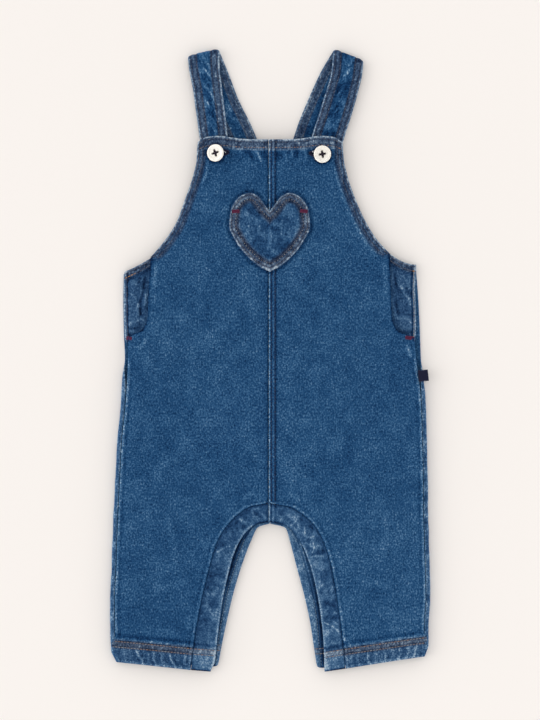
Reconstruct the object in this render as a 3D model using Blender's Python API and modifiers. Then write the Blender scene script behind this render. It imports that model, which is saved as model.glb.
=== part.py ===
"""Child's denim dungarees, laid flat on a surface with the front up and the bib towards +Y.

The backs lie on the surface and curl round the sides to meet the fronts.  The straps are sewn
to the top of the back, fold over at the shoulders and end behind the bib, where their buttons
hold them.  Each sewn piece is a wall of cloth: a grid of points ruled between two of its edges,
which the tables below give section by section, with a Solidify modifier for its thickness.

Tables and sizes are in millimetres and the model is in metres.  Left and right are the
viewer's.  The origin is on the surface, in the middle of the garment's extent.
"""
import math

import bpy
import numpy as np

MM = 0.001

# Driving sizes
CLOTH = 1.2             # one layer of washed denim
STRAP_CLOTH = 1.6       # two layers, stitched together
GAP = 0.3               # between pieces at a seam
SIDE_CURL = 2.3         # outer radius where the back curls round to the front
SIDE_SEAM_IN = 3.4      # the side seam lies this far in from the outline
SIDE_LAP = 9.0          # width of the back's edge that curls, where it still lies flat
STRAP_FOLD = 1.9        # outer radius of the shoulder fold
EDGE_ROLL = 12.0        # the front's free edges droop over this width
HEM = 5.6               # turned hem of the armholes
BIB_HEM = 8.4           # turned hem of the bib
HEM_RAISE = 0.4         # how far a turned hem stands proud
BIB_WAVE = 2.9          # the bib's top edge rises this much towards each button
BIB_CORNER = 3.0        # and drops this much at its corners
FELL = 4.9              # felled strip beside the centre-front seam
FELL_RAISE = 0.4
LEG_HEM = 17.0          # depth of the leg hem
PUCKER = 0.6            # height of the puckers along the leg bands and hems
PUCKER_PITCH = 10.0     # distance between two puckers
BUTTON = 13.8           # button diameter
BUTTON_THICK = 2.4
BUTTON_HOLE = 1.7
BUTTON_HOLE_SPACING = 3.4
BUTTON_LIFT = 6.25      # underside of a button, just over the bib's hem
TAB_WIDE = 8.4          # side tab
TAB_LONG = 9.0
TAB_THICK = 1.0
TAB_TURN = 6.0          # degrees

# Each front: a row for each section from its outer edge to the centre-front or band seam.
# Columns: name, edge x, edge y, edge height, seam x, seam y, seam height
FRONT_LEFT = [
    ("bib top", -57.6, 176.1, 5.4, -1.3, 176.1, 5.4),
    ("bib hem", -58.3, 168.3, 5.4, -1.3, 168.3, 5.5),
    ("below button", -58.6, 159.9, 5.2, -1.3, 158.3, 5.5),
    ("chest", -61.4, 147.1, 4.2, -1.3, 142.3, 5.6),
    ("heart top", -67.8, 128.7, 3.1, -1.3, 123.1, 5.6),
    ("heart middle", -75.0, 109.5, 3.0, -1.3, 102.3, 5.6),
    ("heart point", -85.3, 93.9, 3.4, -1.3, 83.1, 5.6),
    ("pocket top", -95.6, 82.8, 5.0, -1.3, 63.9, 5.6),
    ("pocket", -97.1, 55.9, 5.3, -1.3, 43.9, 5.6),
    ("pocket turn", -97.9, 34.3, 5.3, -1.3, 23.9, 5.6),
    ("pocket curve", -102.1, 24.3, 5.2, -1.3, 11.9, 5.6),
    ("pocket end", -113.2, 17.5, 4.6, -1.3, -1.7, 5.6),
    ("waist", -113.6, -4.9, 4.6, -1.3, -22.5, 5.6),
    ("hip", -115.2, -32.1, 4.9, -1.3, -48.1, 5.6),
    ("seat", -118.3, -64.1, 4.9, -1.3, -80.1, 5.6),
    ("arch top", -120.0, -96.1, 4.9, -1.3, -112.9, 5.5),
    ("arch shoulder", -120.9, -112.1, 4.9, -16.6, -117.6, 5.4),
    ("arch side", -121.7, -129.7, 4.9, -32.6, -130.5, 5.3),
    ("thigh", -122.4, -148.1, 4.9, -42.0, -145.1, 5.3),
    ("knee", -123.0, -171.3, 4.9, -48.5, -166.5, 5.3),
    ("shin", -124.1, -195.3, 4.9, -54.9, -193.7, 5.3),
    ("hem top", -123.5, -220.9, 4.8, -60.3, -223.7, 5.2),
    ("hem edge", -119.3, -241.8, 4.5, -63.2, -248.0, 4.9),
]
FRONT_RIGHT = [
    ("bib top", 58.1, 176.1, 5.4, -1.0, 176.1, 5.4),
    ("bib hem", 58.4, 168.3, 5.4, -1.0, 168.3, 5.5),
    ("below button", 59.0, 159.9, 5.2, -1.0, 158.3, 5.5),
    ("chest", 61.8, 147.1, 4.2, -1.0, 142.3, 5.6),
    ("heart top", 68.2, 128.7, 3.1, -1.0, 123.1, 5.6),
    ("heart middle", 77.0, 109.5, 3.0, -1.0, 102.3, 5.6),
    ("heart point", 86.9, 95.1, 3.4, -1.0, 83.1, 5.6),
    ("pocket top", 96.6, 85.6, 5.0, -1.0, 63.9, 5.6),
    ("pocket", 96.5, 55.9, 5.3, -1.0, 43.9, 5.6),
    ("pocket turn", 97.6, 34.3, 5.3, -1.0, 23.9, 5.6),
    ("pocket curve", 102.6, 23.1, 5.2, -1.0, 11.9, 5.6),
    ("pocket end", 114.7, 17.6, 4.6, -1.0, -1.7, 5.6),
    ("waist", 117.4, -4.9, 4.6, -1.0, -22.5, 5.6),
    ("hip", 121.0, -32.1, 4.9, -1.0, -48.1, 5.6),
    ("seat", 122.2, -64.1, 4.9, -1.0, -80.1, 5.6),
    ("arch top", 122.9, -96.1, 4.9, -1.0, -112.9, 5.5),
    ("arch shoulder", 123.1, -112.1, 4.9, 15.8, -117.5, 5.4),
    ("arch side", 123.4, -129.7, 4.9, 30.2, -126.8, 5.3),
    ("thigh", 123.7, -148.1, 4.9, 40.9, -141.2, 5.3),
    ("knee", 124.1, -171.3, 4.9, 48.6, -164.0, 5.3),
    ("shin", 124.4, -195.3, 4.9, 54.2, -195.5, 5.3),
    ("hem top", 123.7, -217.7, 4.8, 57.8, -222.5, 5.2),
    ("hem edge", 120.0, -237.2, 4.5, 60.3, -246.9, 4.9),
]
CORNERS = ("pocket top",)   # rows where an outline turns sharply
FRONT_SEAM_ROW = 13     # from this row down, a front's outer edge is the side seam
FRONT_ARCH_ROW = 15     # from this row down, its inner edge meets the leg band

# Each back: a row for each section from the centre-back seam, and below it the inside leg, to
# the outline.  Bend curves a section like an S, and curl is 0 flat and 1 rolled to the front.
# Columns: name, inner x, inner y, outline x, outline y, bend, curl
BACK_LEFT = [
    ("top", -0.2, 153.5, -116.9, 68.7, 1.0, 0.0),
    ("shoulder blade", -0.2, 115.9, -117.3, 47.9, 0.7, 0.0),
    ("above waist", -0.2, 78.3, -116.9, 23.9, 0.4, 0.0),
    ("waist", -0.2, 44.7, -116.0, 2.3, 0.1, 0.0),
    ("side seam top", -0.2, 17.9, -117.9, -13.7, 0.0, 0.85),
    ("hip", -0.2, -12.1, -118.9, -32.1, 0.0, 1.0),
    ("seat", -0.2, -52.1, -122.0, -64.1, 0.0, 1.0),
    ("lower seat", -0.2, -89.7, -123.7, -96.1, 0.0, 1.0),
    ("crotch", -0.2, -131.2, -125.3, -128.1, 0.0, 1.0),
    ("crotch turn", -9.6, -133.9, -125.6, -137.7, 0.0, 1.0),
    ("thigh", -15.6, -145.1, -126.1, -150.5, 0.0, 1.0),
    ("knee", -23.9, -167.4, -126.7, -169.7, 0.0, 1.0),
    ("shin", -29.9, -187.8, -127.8, -190.5, 0.0, 1.0),
    ("calf", -35.3, -211.2, -127.6, -216.1, 0.0, 1.0),
    ("hem top", -38.8, -227.7, -127.1, -230.5, 0.0, 1.0),
    ("hem edge", -41.9, -245.0, -123.0, -241.1, 0.0, 1.0),
]
BACK_RIGHT = [
    ("top", 0.2, 153.5, 116.6, 74.5, 1.0, 0.0),
    ("shoulder blade", 0.2, 115.9, 118.6, 47.9, 0.7, 0.0),
    ("above waist", 0.2, 78.3, 119.8, 23.9, 0.4, 0.0),
    ("waist", 0.2, 44.7, 120.6, 2.3, 0.1, 0.0),
    ("side seam top", 0.2, 17.9, 122.6, -13.7, 0.0, 0.85),
    ("hip", 0.2, -12.1, 124.3, -32.1, 0.0, 1.0),
    ("seat", 0.2, -52.1, 125.4, -64.1, 0.0, 1.0),
    ("lower seat", 0.2, -89.7, 126.1, -96.1, 0.0, 1.0),
    ("crotch", 0.2, -130.9, 126.4, -128.1, 0.0, 1.0),
    ("crotch turn", 12.6, -134.6, 126.8, -137.7, 0.0, 1.0),
    ("thigh", 16.2, -145.0, 127.1, -150.5, 0.0, 1.0),
    ("knee", 22.1, -167.4, 127.8, -169.7, 0.0, 1.0),
    ("shin", 27.6, -187.8, 128.1, -190.5, 0.0, 1.0),
    ("calf", 32.6, -211.2, 126.8, -211.0, 0.0, 1.0),
    ("hem top", 35.3, -228.8, 126.6, -226.9, 0.0, 1.0),
    ("hem edge", 37.9, -246.2, 123.7, -236.8, 0.0, 1.0),
]

# Side piece: sections from its free side edge to the edge that the front covers.
# Columns: name, side x, side y, side height, pocket x, pocket y, pocket height
SIDE_LEFT = [
    ("armhole", -116.3, 70.4, 2.9, -93.9, 83.4, 3.6),
    ("upper", -117.0, 55.9, 2.9, -93.8, 58.3, 3.7),
    ("lower", -116.9, 38.3, 2.9, -94.4, 33.5, 3.7),
    ("turn", -116.4, 23.9, 2.9, -99.0, 20.3, 3.5),
    ("end", -115.6, 14.3, 2.9, -107.6, 13.5, 3.1),
]
SIDE_RIGHT = [
    ("armhole", 116.9, 76.2, 2.9, 93.3, 88.4, 3.6),
    ("upper", 115.9, 55.9, 3.0, 93.1, 58.3, 3.7),
    ("lower", 115.2, 38.3, 3.0, 94.1, 33.5, 3.7),
    ("turn", 114.9, 23.9, 3.0, 99.0, 19.1, 3.5),
    ("end", 113.6, 14.3, 3.0, 108.8, 13.5, 3.1),
]

# Front leg bands: the free inner edge, a row for each row of the front from its arch top down.
# Columns: name, inner x, inner y, inner height
BAND_FRONT_LEFT = [
    ("centre", -1.3, -129.2, 4.7),
    ("shoulder", -11.4, -131.3, 4.7),
    ("side", -21.3, -140.4, 4.7),
    ("thigh", -28.0, -152.9, 4.7),
    ("knee", -33.1, -170.5, 4.7),
    ("shin", -38.4, -196.1, 4.7),
    ("hem top", -42.2, -225.7, 4.7),
    ("hem edge", -44.8, -249.3, 4.5),
]
BAND_FRONT_RIGHT = [
    ("centre", -1.0, -129.2, 4.7),
    ("shoulder", 11.8, -131.8, 4.7),
    ("side", 20.5, -139.0, 4.7),
    ("thigh", 28.0, -152.9, 4.7),
    ("knee", 34.6, -172.9, 4.7),
    ("shin", 39.4, -196.9, 4.7),
    ("hem top", 42.6, -224.1, 4.7),
    ("hem edge", 43.6, -249.4, 4.5),
]

# Back plackets: the turned band on the inside leg of each back, seen from its inner side.
# Columns: name, covered x, covered y, height, inner x, inner y, height
BAND_BACK_LEFT = [
    ("centre", -0.2, -116.9, 2.7, -0.2, -130.8, 2.7),
    ("crotch turn", -19.0, -121.7, 2.7, -9.3, -133.6, 2.7),
    ("thigh", -30.0, -138.5, 2.7, -15.3, -144.9, 2.7),
    ("knee", -39.2, -162.5, 2.7, -23.6, -167.3, 2.7),
    ("shin", -45.6, -184.1, 2.7, -29.6, -187.7, 2.7),
    ("calf", -51.5, -208.9, 2.7, -35.0, -211.1, 2.7),
    ("hem top", -54.9, -226.5, 2.7, -38.5, -227.6, 2.7),
    ("hem edge", -57.9, -244.5, 2.7, -41.6, -245.2, 2.7),
]
BAND_BACK_RIGHT = [
    ("centre", 0.2, -116.9, 2.7, 0.2, -130.8, 2.7),
    ("crotch turn", 20.2, -122.5, 2.7, 12.3, -134.3, 2.7),
    ("thigh", 31.4, -140.9, 2.7, 15.9, -144.8, 2.7),
    ("knee", 38.0, -163.3, 2.7, 21.8, -167.3, 2.7),
    ("shin", 43.4, -184.1, 2.7, 27.3, -187.7, 2.7),
    ("calf", 48.6, -208.9, 2.7, 32.3, -211.1, 2.7),
    ("hem top", 51.5, -228.1, 2.7, 35.0, -228.8, 2.7),
    ("hem edge", 54.1, -245.0, 2.7, 37.6, -246.4, 2.7),
]

# Straps: sections across, from the buttoned end up to the fold, then down to the sewn end.
# Columns: name, left x, left y, right x, right y, height of the strap's face
STRAP_LEFT_FRONT = [
    ("buttoned end", -52.5, 152.0, -30.9, 152.0, 3.8),
    ("bib top", -56.4, 178.4, -33.8, 178.4, 3.8),
    ("lower", -58.8, 198.4, -36.0, 198.4, 3.8),
    ("middle", -61.2, 216.0, -38.2, 216.0, 3.8),
    ("upper", -64.8, 233.0, -40.3, 235.2, 3.8),
    ("fold", -65.6, 241.2, -40.6, 247.3, 3.8),
]
STRAP_LEFT_BACK = [
    ("fold", -65.6, 241.2, -40.6, 247.3, 0.0),
    ("upper", -54.6, 220.8, -33.3, 229.4, 0.0),
    ("middle", -46.7, 198.8, -25.0, 207.8, 0.0),
    ("bib top", -37.4, 179.0, -15.2, 188.0, 0.0),
    ("before the back", -26.8, 153.4, -4.6, 162.4, 0.0),
    ("over the back", -25.1, 149.4, -2.9, 158.4, 1.5),
    ("sewn end", -22.7, 138.8, -0.8, 147.6, 1.5),
]
STRAP_RIGHT_FRONT = [
    ("buttoned end", 28.8, 152.0, 52.0, 152.0, 3.8),
    ("bib top", 33.8, 178.4, 59.6, 178.4, 3.8),
    ("lower", 39.0, 194.8, 64.9, 194.8, 3.8),
    ("middle", 45.0, 214.4, 70.5, 214.4, 3.8),
    ("upper", 49.4, 230.4, 73.8, 228.8, 3.8),
    ("fold", 50.5, 247.0, 74.7, 237.6, 3.8),
]
STRAP_RIGHT_BACK = [
    ("fold", 50.5, 247.0, 74.7, 237.6, 0.0),
    ("upper", 40.6, 230.1, 63.6, 220.2, 0.0),
    ("middle", 32.9, 213.5, 55.6, 203.6, 0.0),
    ("bib top", 23.5, 191.2, 46.2, 181.3, 0.0),
    ("before the back", 12.8, 158.6, 34.8, 148.8, 0.0),
    ("over the back", 11.2, 154.6, 33.2, 144.8, 1.5),
    ("sewn end", 8.0, 146.5, 29.5, 136.5, 1.5),
]

# Right half of the heart's outline, down from its notch.  Columns: name, x, y
HEART_CENTRE_X = -0.3
HEART_CENTRE_Y = 103.0
HEART_BASE = 6.2        # underside of the pocket, over the felled seam
HEART_RIM = 0.3         # how far its turned edge stands proud
HEART = [
    ("notch", 0.0, 118.9),
    ("inner lobe", 4.6, 124.8),
    ("lobe rise", 9.6, 131.0),
    ("lobe top", 16.2, 133.4),
    ("lobe shoulder", 24.2, 130.2),
    ("side", 31.0, 119.2),
    ("widest", 32.2, 107.0),
    ("flank", 27.8, 96.3),
    ("lower flank", 20.2, 85.4),
    ("near point", 8.0, 74.7),
    ("point", 0.0, 70.4),
]

BUTTON_LEFT_AT = (-43.5, 165.1)
BUTTON_RIGHT_AT = (41.6, 164.7)
TAB_AT = (122.9, -12.5)
TAB_HEIGHT = 5.7        # middle of its thickness, over the curled side

# Largest folds, as soft ridges.  Columns: name, x0, y0, x1, y1, width, height
FOLDS = [
    ("left side piece, long", -112.4, 52.0, -105.6, 37.0, 2.4, 0.8),
    ("left side piece, inner", -105.0, 52.0, -105.6, 42.8, 2.2, 0.7),
    ("left side piece, low", -114.2, 26.8, -100.6, 31.7, 2.4, 0.7),
    ("right side piece, long", 104.0, 66.0, 104.4, 47.0, 2.4, 0.8),
    ("right side piece, outer", 109.3, 49.3, 113.3, 43.2, 2.2, 0.7),
    ("right side piece, low", 98.7, 45.0, 102.2, 34.4, 2.2, 0.7),
    ("right hip", 108.4, 12.4, 111.0, 2.7, 2.6, 0.6),
    ("left bib gather", -24.0, 167.0, -17.5, 155.0, 3.0, 0.5),
    ("right bib gather", 17.5, 167.0, 24.0, 155.0, 3.0, 0.5),
]


# Curves and sections

def smooth_step(value, start, end):
    """0 before start and 1 after end, with an S-shaped rise between."""
    t = np.clip((value - start) / (end - start), 0.0, 1.0)
    return t * t * (3.0 - 2.0 * t)


def rows_at(table, at):
    """A table's numbers at fractional rows: a cubic through the rows that never overshoots.

    It turns softly at every row apart from those named in CORNERS.
    """
    values = np.array([row[1:] for row in table], dtype=float)
    step = np.diff(values, axis=0)
    slope = np.vstack([step[:1], np.zeros((len(values) - 2, values.shape[1])), step[-1:]])
    total = step[:-1] + step[1:]
    product = step[:-1] * step[1:]
    np.divide(2.0 * product, total, out=slope[1:-1], where=product > 1e-12)
    into, out = slope.copy(), slope.copy()
    for corner in [number for number, row in enumerate(table) if row[0] in CORNERS]:
        into[corner], out[corner] = step[corner - 1], step[corner]
    row = np.clip(np.floor(at).astype(int), 0, len(values) - 2)
    t = (at - row)[:, None]
    start, end = values[row], values[row + 1]
    return ((2 * t ** 3 - 3 * t ** 2 + 1) * start + (t ** 3 - 2 * t ** 2 + t) * out[row]
            + (3 * t ** 2 - 2 * t ** 3) * end + (t ** 3 - t ** 2) * into[row + 1])


def spread(first, last, per_row):
    """Fractional rows from first to last, per_row of them in each row of a table."""
    return np.linspace(first, last, int(round((last - first) * per_row)) + 1)


def ruled(sections, from_start, middle, from_end):
    """Points ruled across sections, with the distance of each point from both edges.

    A section is the x, y and height of its start and of its end.  from_start and from_end are
    distances in mm, and middle is how many columns lie between them.
    """
    x0, y0, z0, x1, y1, z1 = (column[:, None] for column in sections.T)
    width = np.hypot(x1 - x0, y1 - y0)
    start, end = np.array(from_start) / width, 1.0 - np.array(from_end) / width
    fraction = np.linspace(0.0, 1.0, middle + 2)[None, 1:-1]
    between = start[:, -1:] + (end[:, :1] - start[:, -1:]) * fraction
    u = np.hstack([start, between, end])
    drop = 1.0 - np.sin(np.clip(u * width / EDGE_ROLL, 0.0, 1.0) * math.pi / 2)
    points = np.stack([x0 + (x1 - x0) * u, y0 + (y1 - y0) * u, z1 + (z0 - z1) * drop], axis=2)
    return points, u * width, (1.0 - u) * width


def fold_height(x, y):
    """Sum of the soft ridges: each fades with the distance from its line and near its ends."""
    height = np.zeros_like(x)
    for _name, x0, y0, x1, y1, width, peak in FOLDS:
        length = math.hypot(x1 - x0, y1 - y0)
        along = ((x - x0) * (x1 - x0) + (y - y0) * (y1 - y0)) / length ** 2
        across = ((x - x0) * (y1 - y0) - (y - y0) * (x1 - x0)) / length
        ends = smooth_step(along, -0.15, 0.25) * (1.0 - smooth_step(along, 0.75, 1.15))
        height += peak * ends * np.exp(-(across / width) ** 2)
    return height


# Making pieces

def srgb(red, green, blue):
    """A colour in 8-bit sRGB as linear values, with alpha."""
    return tuple((value / 255.0) ** 2.2 for value in (red, green, blue)) + (1.0,)


def material(name, colour, roughness):
    made = bpy.data.materials.new(name)
    made.use_nodes = True
    shader = made.node_tree.nodes["Principled BSDF"]
    shader.inputs["Base Color"].default_value = colour
    shader.inputs["Roughness"].default_value = roughness
    shader.inputs["Metallic"].default_value = 0.0
    return made


def add_object(name, vertices, faces, collection, finish):
    """A smooth-shaded object from points in mm."""
    mesh = bpy.data.meshes.new(name)
    mesh.from_pydata((np.asarray(vertices) * MM).tolist(), [], faces)
    mesh.materials.append(finish)
    mesh.shade_smooth()
    mesh.set_sharp_from_angle(angle=math.radians(50.0))
    made = bpy.data.objects.new(name, mesh)
    collection.objects.link(made)
    return made


def give_wall(made, thickness, even=True):
    """Turn an open surface into a closed wall, on the side that its faces turn away from."""
    wall = made.modifiers.new("wall", "SOLIDIFY")
    wall.thickness = thickness * MM
    wall.offset = -1.0
    wall.use_even_offset = even
    wall.use_rim = True


def cloth(name, points, facing, thickness, collection, finish):
    """A wall of cloth on a grid of points, its first corner facing up (1) or down (-1)."""
    rows, columns = points.shape[:2]
    index = np.arange(rows * columns).reshape(rows, columns)
    quads = np.stack([index[:-1, :-1], index[:-1, 1:], index[1:, 1:], index[1:, :-1]], axis=2)
    first = np.cross(points[0, 1] - points[0, 0], points[1, 0] - points[0, 0])[2]
    if first * facing < 0:
        quads = quads[:, :, ::-1]
    made = add_object(name, points.reshape(-1, 3), quads.reshape(-1, 4).tolist(),
                      collection, finish)
    give_wall(made, thickness)
    return made


# Pieces

def side_line(back_table, y):
    """The garment's outline beside the side seam, as x for each y."""
    line = rows_at(back_table, spread(4, len(back_table) - 1, 8))
    return np.interp(-y, -line[:, 3], line[:, 2])


def bib_edge_rise(x):
    """How far the bib's top edge stands above its middle: a hump at each button, and corners."""
    away = np.abs(x)
    hump = BIB_WAVE * np.exp(-((away - BUTTON_RIGHT_AT[0]) / 14.0) ** 2)
    return hump - BIB_CORNER * smooth_step(away, 51.0, 59.0)


def front(name, table, back_table, felled, collection, finish):
    """Bib and trouser front: hems raised along the armhole, the bib, the pocket and the leg."""
    last = len(table) - 1
    at = np.concatenate([[0.0, 0.1, 0.9, 1.15], spread(2, 7, 2), spread(8, 14, 1),
                         spread(FRONT_ARCH_ROW, last, 4)])
    points, from_edge, from_seam = ruled(rows_at(table, at), [0.0, 0.9, HEM - 0.6, HEM + 0.8],
                                         5, [FELL + 1.0, FELL - 0.4, 0.0])
    x, y, z = points[..., 0], points[..., 1], points[..., 2]
    side = 1.0 if table[0][1] > 0 else -1.0
    seamed = at >= FRONT_SEAM_ROW
    shift = side_line(back_table, y[seamed, 0]) - side * (SIDE_SEAM_IN + GAP) - x[seamed, 0]
    x[seamed] += shift[:, None] * np.exp(-from_edge[seamed] / 20.0)
    down = at[:, None]
    y += bib_edge_rise(x) * (1.0 - smooth_step(down, 0.0, 2.5))
    armhole = HEM_RAISE * (1.0 - smooth_step(down, 11.0, 12.5))
    z += armhole * smooth_step(from_edge, -0.6, 0.9) * (1.0 - smooth_step(from_edge, HEM - 0.6,
                                                                          HEM + 0.8))
    from_top = y[:1] - y
    bib = smooth_step(from_top, -0.6, 0.9) * (1.0 - smooth_step(from_top, BIB_HEM - 1.0,
                                                                BIB_HEM + 1.0))
    z[:] = np.maximum(z, z + HEM_RAISE * bib * smooth_step(from_edge, 4.0, 7.0))
    if felled:
        z += FELL_RAISE * (1.0 - smooth_step(from_seam, FELL - 0.4, FELL + 1.0)) * (down < 15.5)
    hem_line = y[-1:] + LEG_HEM
    in_hem = smooth_step(hem_line - y, 0.0, 4.0) * (down > 19.0)
    waves = np.maximum(0.0, np.sin(2.0 * math.pi * (x + 0.35 * y) / (1.3 * PUCKER_PITCH)))
    z += in_hem * (0.2 + 0.7 * PUCKER * waves) * smooth_step(from_edge, 0.0, 8.0)
    z += fold_height(x, y)
    return cloth(name, points, 1, CLOTH, collection, finish)


def back(name, table, collection, finish):
    """Back, flat on the surface, its outer edge curled round the side up to the front.

    The last stretch of each section lies flat for a while and then follows a circle, up to
    half a turn, and a short straight top: curl says how much of it has left the surface.
    """
    at = np.concatenate([spread(0, 3, 2), spread(3, 5, 4)[1:], spread(5, 7, 1)[1:],
                         spread(7, len(table) - 1, 2)[1:]])
    x0, y0, x1, y1, bend, curl = (column[:, None] for column in rows_at(table, at).T)
    curled = curl * (math.pi * SIDE_CURL + SIDE_SEAM_IN - SIDE_CURL)
    lap = SIDE_LAP * np.linspace(0.0, 1.0, 9)[None] - (SIDE_LAP - curled)
    angle = np.clip(lap / SIDE_CURL, 0.0, math.pi)
    out = SIDE_CURL * np.sin(angle) + np.minimum(lap, 0.0)
    out -= np.maximum(lap - math.pi * SIDE_CURL, 0.0)
    width = np.hypot(x1 - x0, y1 - y0)
    rolled = width - out.max(axis=1, keepdims=True) + out
    plain = rolled[:, :1] * np.linspace(0.0, 1.0, 6)[None, :-1]
    u = np.hstack([plain, rolled]) / width
    z = np.hstack([np.zeros_like(plain), SIDE_CURL * (1.0 - np.cos(angle))])
    s_curve = u + bend * (smooth_step(u, 0.0, 1.0) - u)
    points = np.stack([x0 + (x1 - x0) * u, y0 + (y1 - y0) * s_curve, z], axis=2)
    return cloth(name, points, -1, CLOTH, collection, finish)


def side_piece(name, table, collection, finish):
    """Facing of the hip pocket, crumpled between the front and the side."""
    points, _, _ = ruled(rows_at(table, spread(0, 4, 3)), [0.0, 1.5], 6, [1.5, 0.0])
    points[..., 2] += fold_height(points[..., 0], points[..., 1])
    return cloth(name, points, 1, CLOTH, collection, finish)


def front_band(name, front_table, table, collection, finish):
    """Bias band of the front's inside leg, with puckers between its seam and its edge.

    Its outer edge is the front's arched edge, moved out by the gap at the seam.
    """
    at = spread(0, len(table) - 1, 4)
    arch = rows_at(front_table, at + FRONT_ARCH_ROW)[:, 3:]
    run = np.gradient(arch[:, :2], axis=0)
    run /= np.linalg.norm(run, axis=1)[:, None]
    side = 1.0 if front_table[0][1] > 0 else -1.0
    arch[:, :2] += GAP * side * run[:, ::-1] * [1.0, -1.0]
    arch[0, 0] = table[0][1]
    points, from_seam, from_inner = ruled(np.hstack([arch, rows_at(table, at)]),
                                          [0.0, 1.2], 2, [1.2, 0.0])
    x, y, z = points[..., 0], points[..., 1], points[..., 2]
    middle = np.hypot(np.diff(x[:, 2]), np.diff(y[:, 2]))
    along = np.concatenate([[0.0], np.cumsum(middle)])[:, None]
    wave = 0.5 + 0.5 * np.sin(2.0 * math.pi * along / PUCKER_PITCH + 0.6 * np.sin(along / 17.0))
    inside = smooth_step(from_seam, 0.0, 4.0) * smooth_step(from_inner, 0.0, 4.0)
    z += PUCKER * wave * inside * smooth_step(along, 1.0, 9.0)
    return cloth(name, points, 1, CLOTH, collection, finish)


def back_band(name, table, collection, finish):
    """Placket of the back's inside leg, lying on the back."""
    points, _, _ = ruled(rows_at(table, spread(0, len(table) - 1, 2)), [0.0], 1, [0.0])
    return cloth(name, points, 1, CLOTH, collection, finish)


def strap(name, front_table, back_table, collection, finish):
    """Strap from its buttoned end up to the shoulder, over in a flat fold, and down again."""
    up = rows_at(front_table, spread(0, len(front_table) - 1, 2))
    down = rows_at(back_table, spread(0, len(back_table) - 1, 2))
    turn = np.radians(np.linspace(0.0, 180.0, 7))[1:-1, None]
    left, right = up[-1, 0:2], up[-1, 2:4]
    outward = np.array([left[1] - right[1], right[0] - left[0]]) / np.linalg.norm(right - left)
    reach = STRAP_FOLD * np.sin(turn) * outward
    fold = np.hstack([left + reach, right + reach, STRAP_FOLD * (1.0 + np.cos(turn))])
    x0, y0, x1, y1, z = (column[:, None] for column in np.vstack([up, fold, down]).T)
    u = np.linspace(0.0, 1.0, 4)[None]
    points = np.stack([x0 + (x1 - x0) * u, y0 + (y1 - y0) * u, z + 0.0 * u], axis=2)
    return cloth(name, points, 1, STRAP_CLOTH, collection, finish)


def heart_outline(per_row):
    """The heart's outline once round: its right half down and its left half back up."""
    half = rows_at(HEART, spread(0, len(HEART) - 1, per_row))
    other = half[-2:0:-1] * [-1.0, 1.0]
    return np.vstack([half, other]) + [HEART_CENTRE_X, 0.0]


def heart_pocket(name, collection, finish):
    """Patch pocket: rings from the outline to its middle, with a raised rim."""
    outline = heart_outline(2)
    centre = np.array([HEART_CENTRE_X, HEART_CENTRE_Y])
    rings = [(1.0, 0.0), (0.95, HEART_RIM), (0.86, HEART_RIM), (0.79, 0.0), (0.45, 0.0)]
    top = HEART_BASE + CLOTH
    vertices = [np.column_stack([centre + (outline - centre) * share,
                                 np.full(len(outline), top + lift)]) for share, lift in rings]
    vertices = np.vstack(vertices + [np.array([[*centre, top]])])
    count = len(outline)
    faces = []
    for ring in range(len(rings) - 1):
        for k in range(count):
            after = (k + 1) % count
            faces.append([ring * count + k, (ring + 1) * count + k,
                          (ring + 1) * count + after, ring * count + after])
    inner, hub = (len(rings) - 1) * count, len(rings) * count
    faces += [[inner + k, hub, inner + (k + 1) % count] for k in range(count)]
    made = add_object(name, vertices, faces, collection, finish)
    give_wall(made, CLOTH, even=False)
    return made


def button(name, place, collection, cutters, finish):
    """Turned four-hole button with a dished face."""
    radius, thick = BUTTON / 2.0, BUTTON_THICK
    profile = [(0.0, thick - 0.7), (3.6, thick - 0.7), (4.6, thick - 0.2), (5.6, thick),
               (radius - 0.3, thick - 0.5), (radius, thick - 1.1), (radius - 0.8, 0.5),
               (radius - 2.2, 0.0), (0.0, 0.0)]
    mesh = bpy.data.meshes.new(name)
    mesh.from_pydata([(x * MM, 0.0, z * MM) for x, z in profile],
                     [(k, k + 1) for k in range(len(profile) - 1)], [])
    mesh.materials.append(finish)
    made = bpy.data.objects.new(name, mesh)
    collection.objects.link(made)
    turned = made.modifiers.new("turned", "SCREW")
    turned.steps = turned.render_steps = 28
    turned.use_merge_vertices = True
    turned.merge_threshold = 0.00001
    made.location = (place[0] * MM, place[1] * MM, BUTTON_LIFT * MM)
    for number in range(4):
        angle = math.radians(45.0 + 90.0 * number)
        reach = BUTTON_HOLE_SPACING / 2.0 * math.sqrt(2.0)
        bpy.ops.mesh.primitive_cylinder_add(
            vertices=8, radius=BUTTON_HOLE / 2.0 * MM, depth=3.0 * BUTTON_THICK * MM,
            location=((place[0] + reach * math.cos(angle)) * MM,
                      (place[1] + reach * math.sin(angle)) * MM,
                      (BUTTON_LIFT + BUTTON_THICK / 2.0) * MM))
        cutter = bpy.context.object
        cutter.name = f"{name}_hole_{number + 1}"
        for other in list(cutter.users_collection):
            other.objects.unlink(cutter)
        cutters.objects.link(cutter)
        cutter.hide_render = True
        cutter.display_type = "WIRE"
        hole = made.modifiers.new(f"hole {number + 1}", "BOOLEAN")
        hole.operation = "DIFFERENCE"
        hole.object = cutter
    return made


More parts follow.
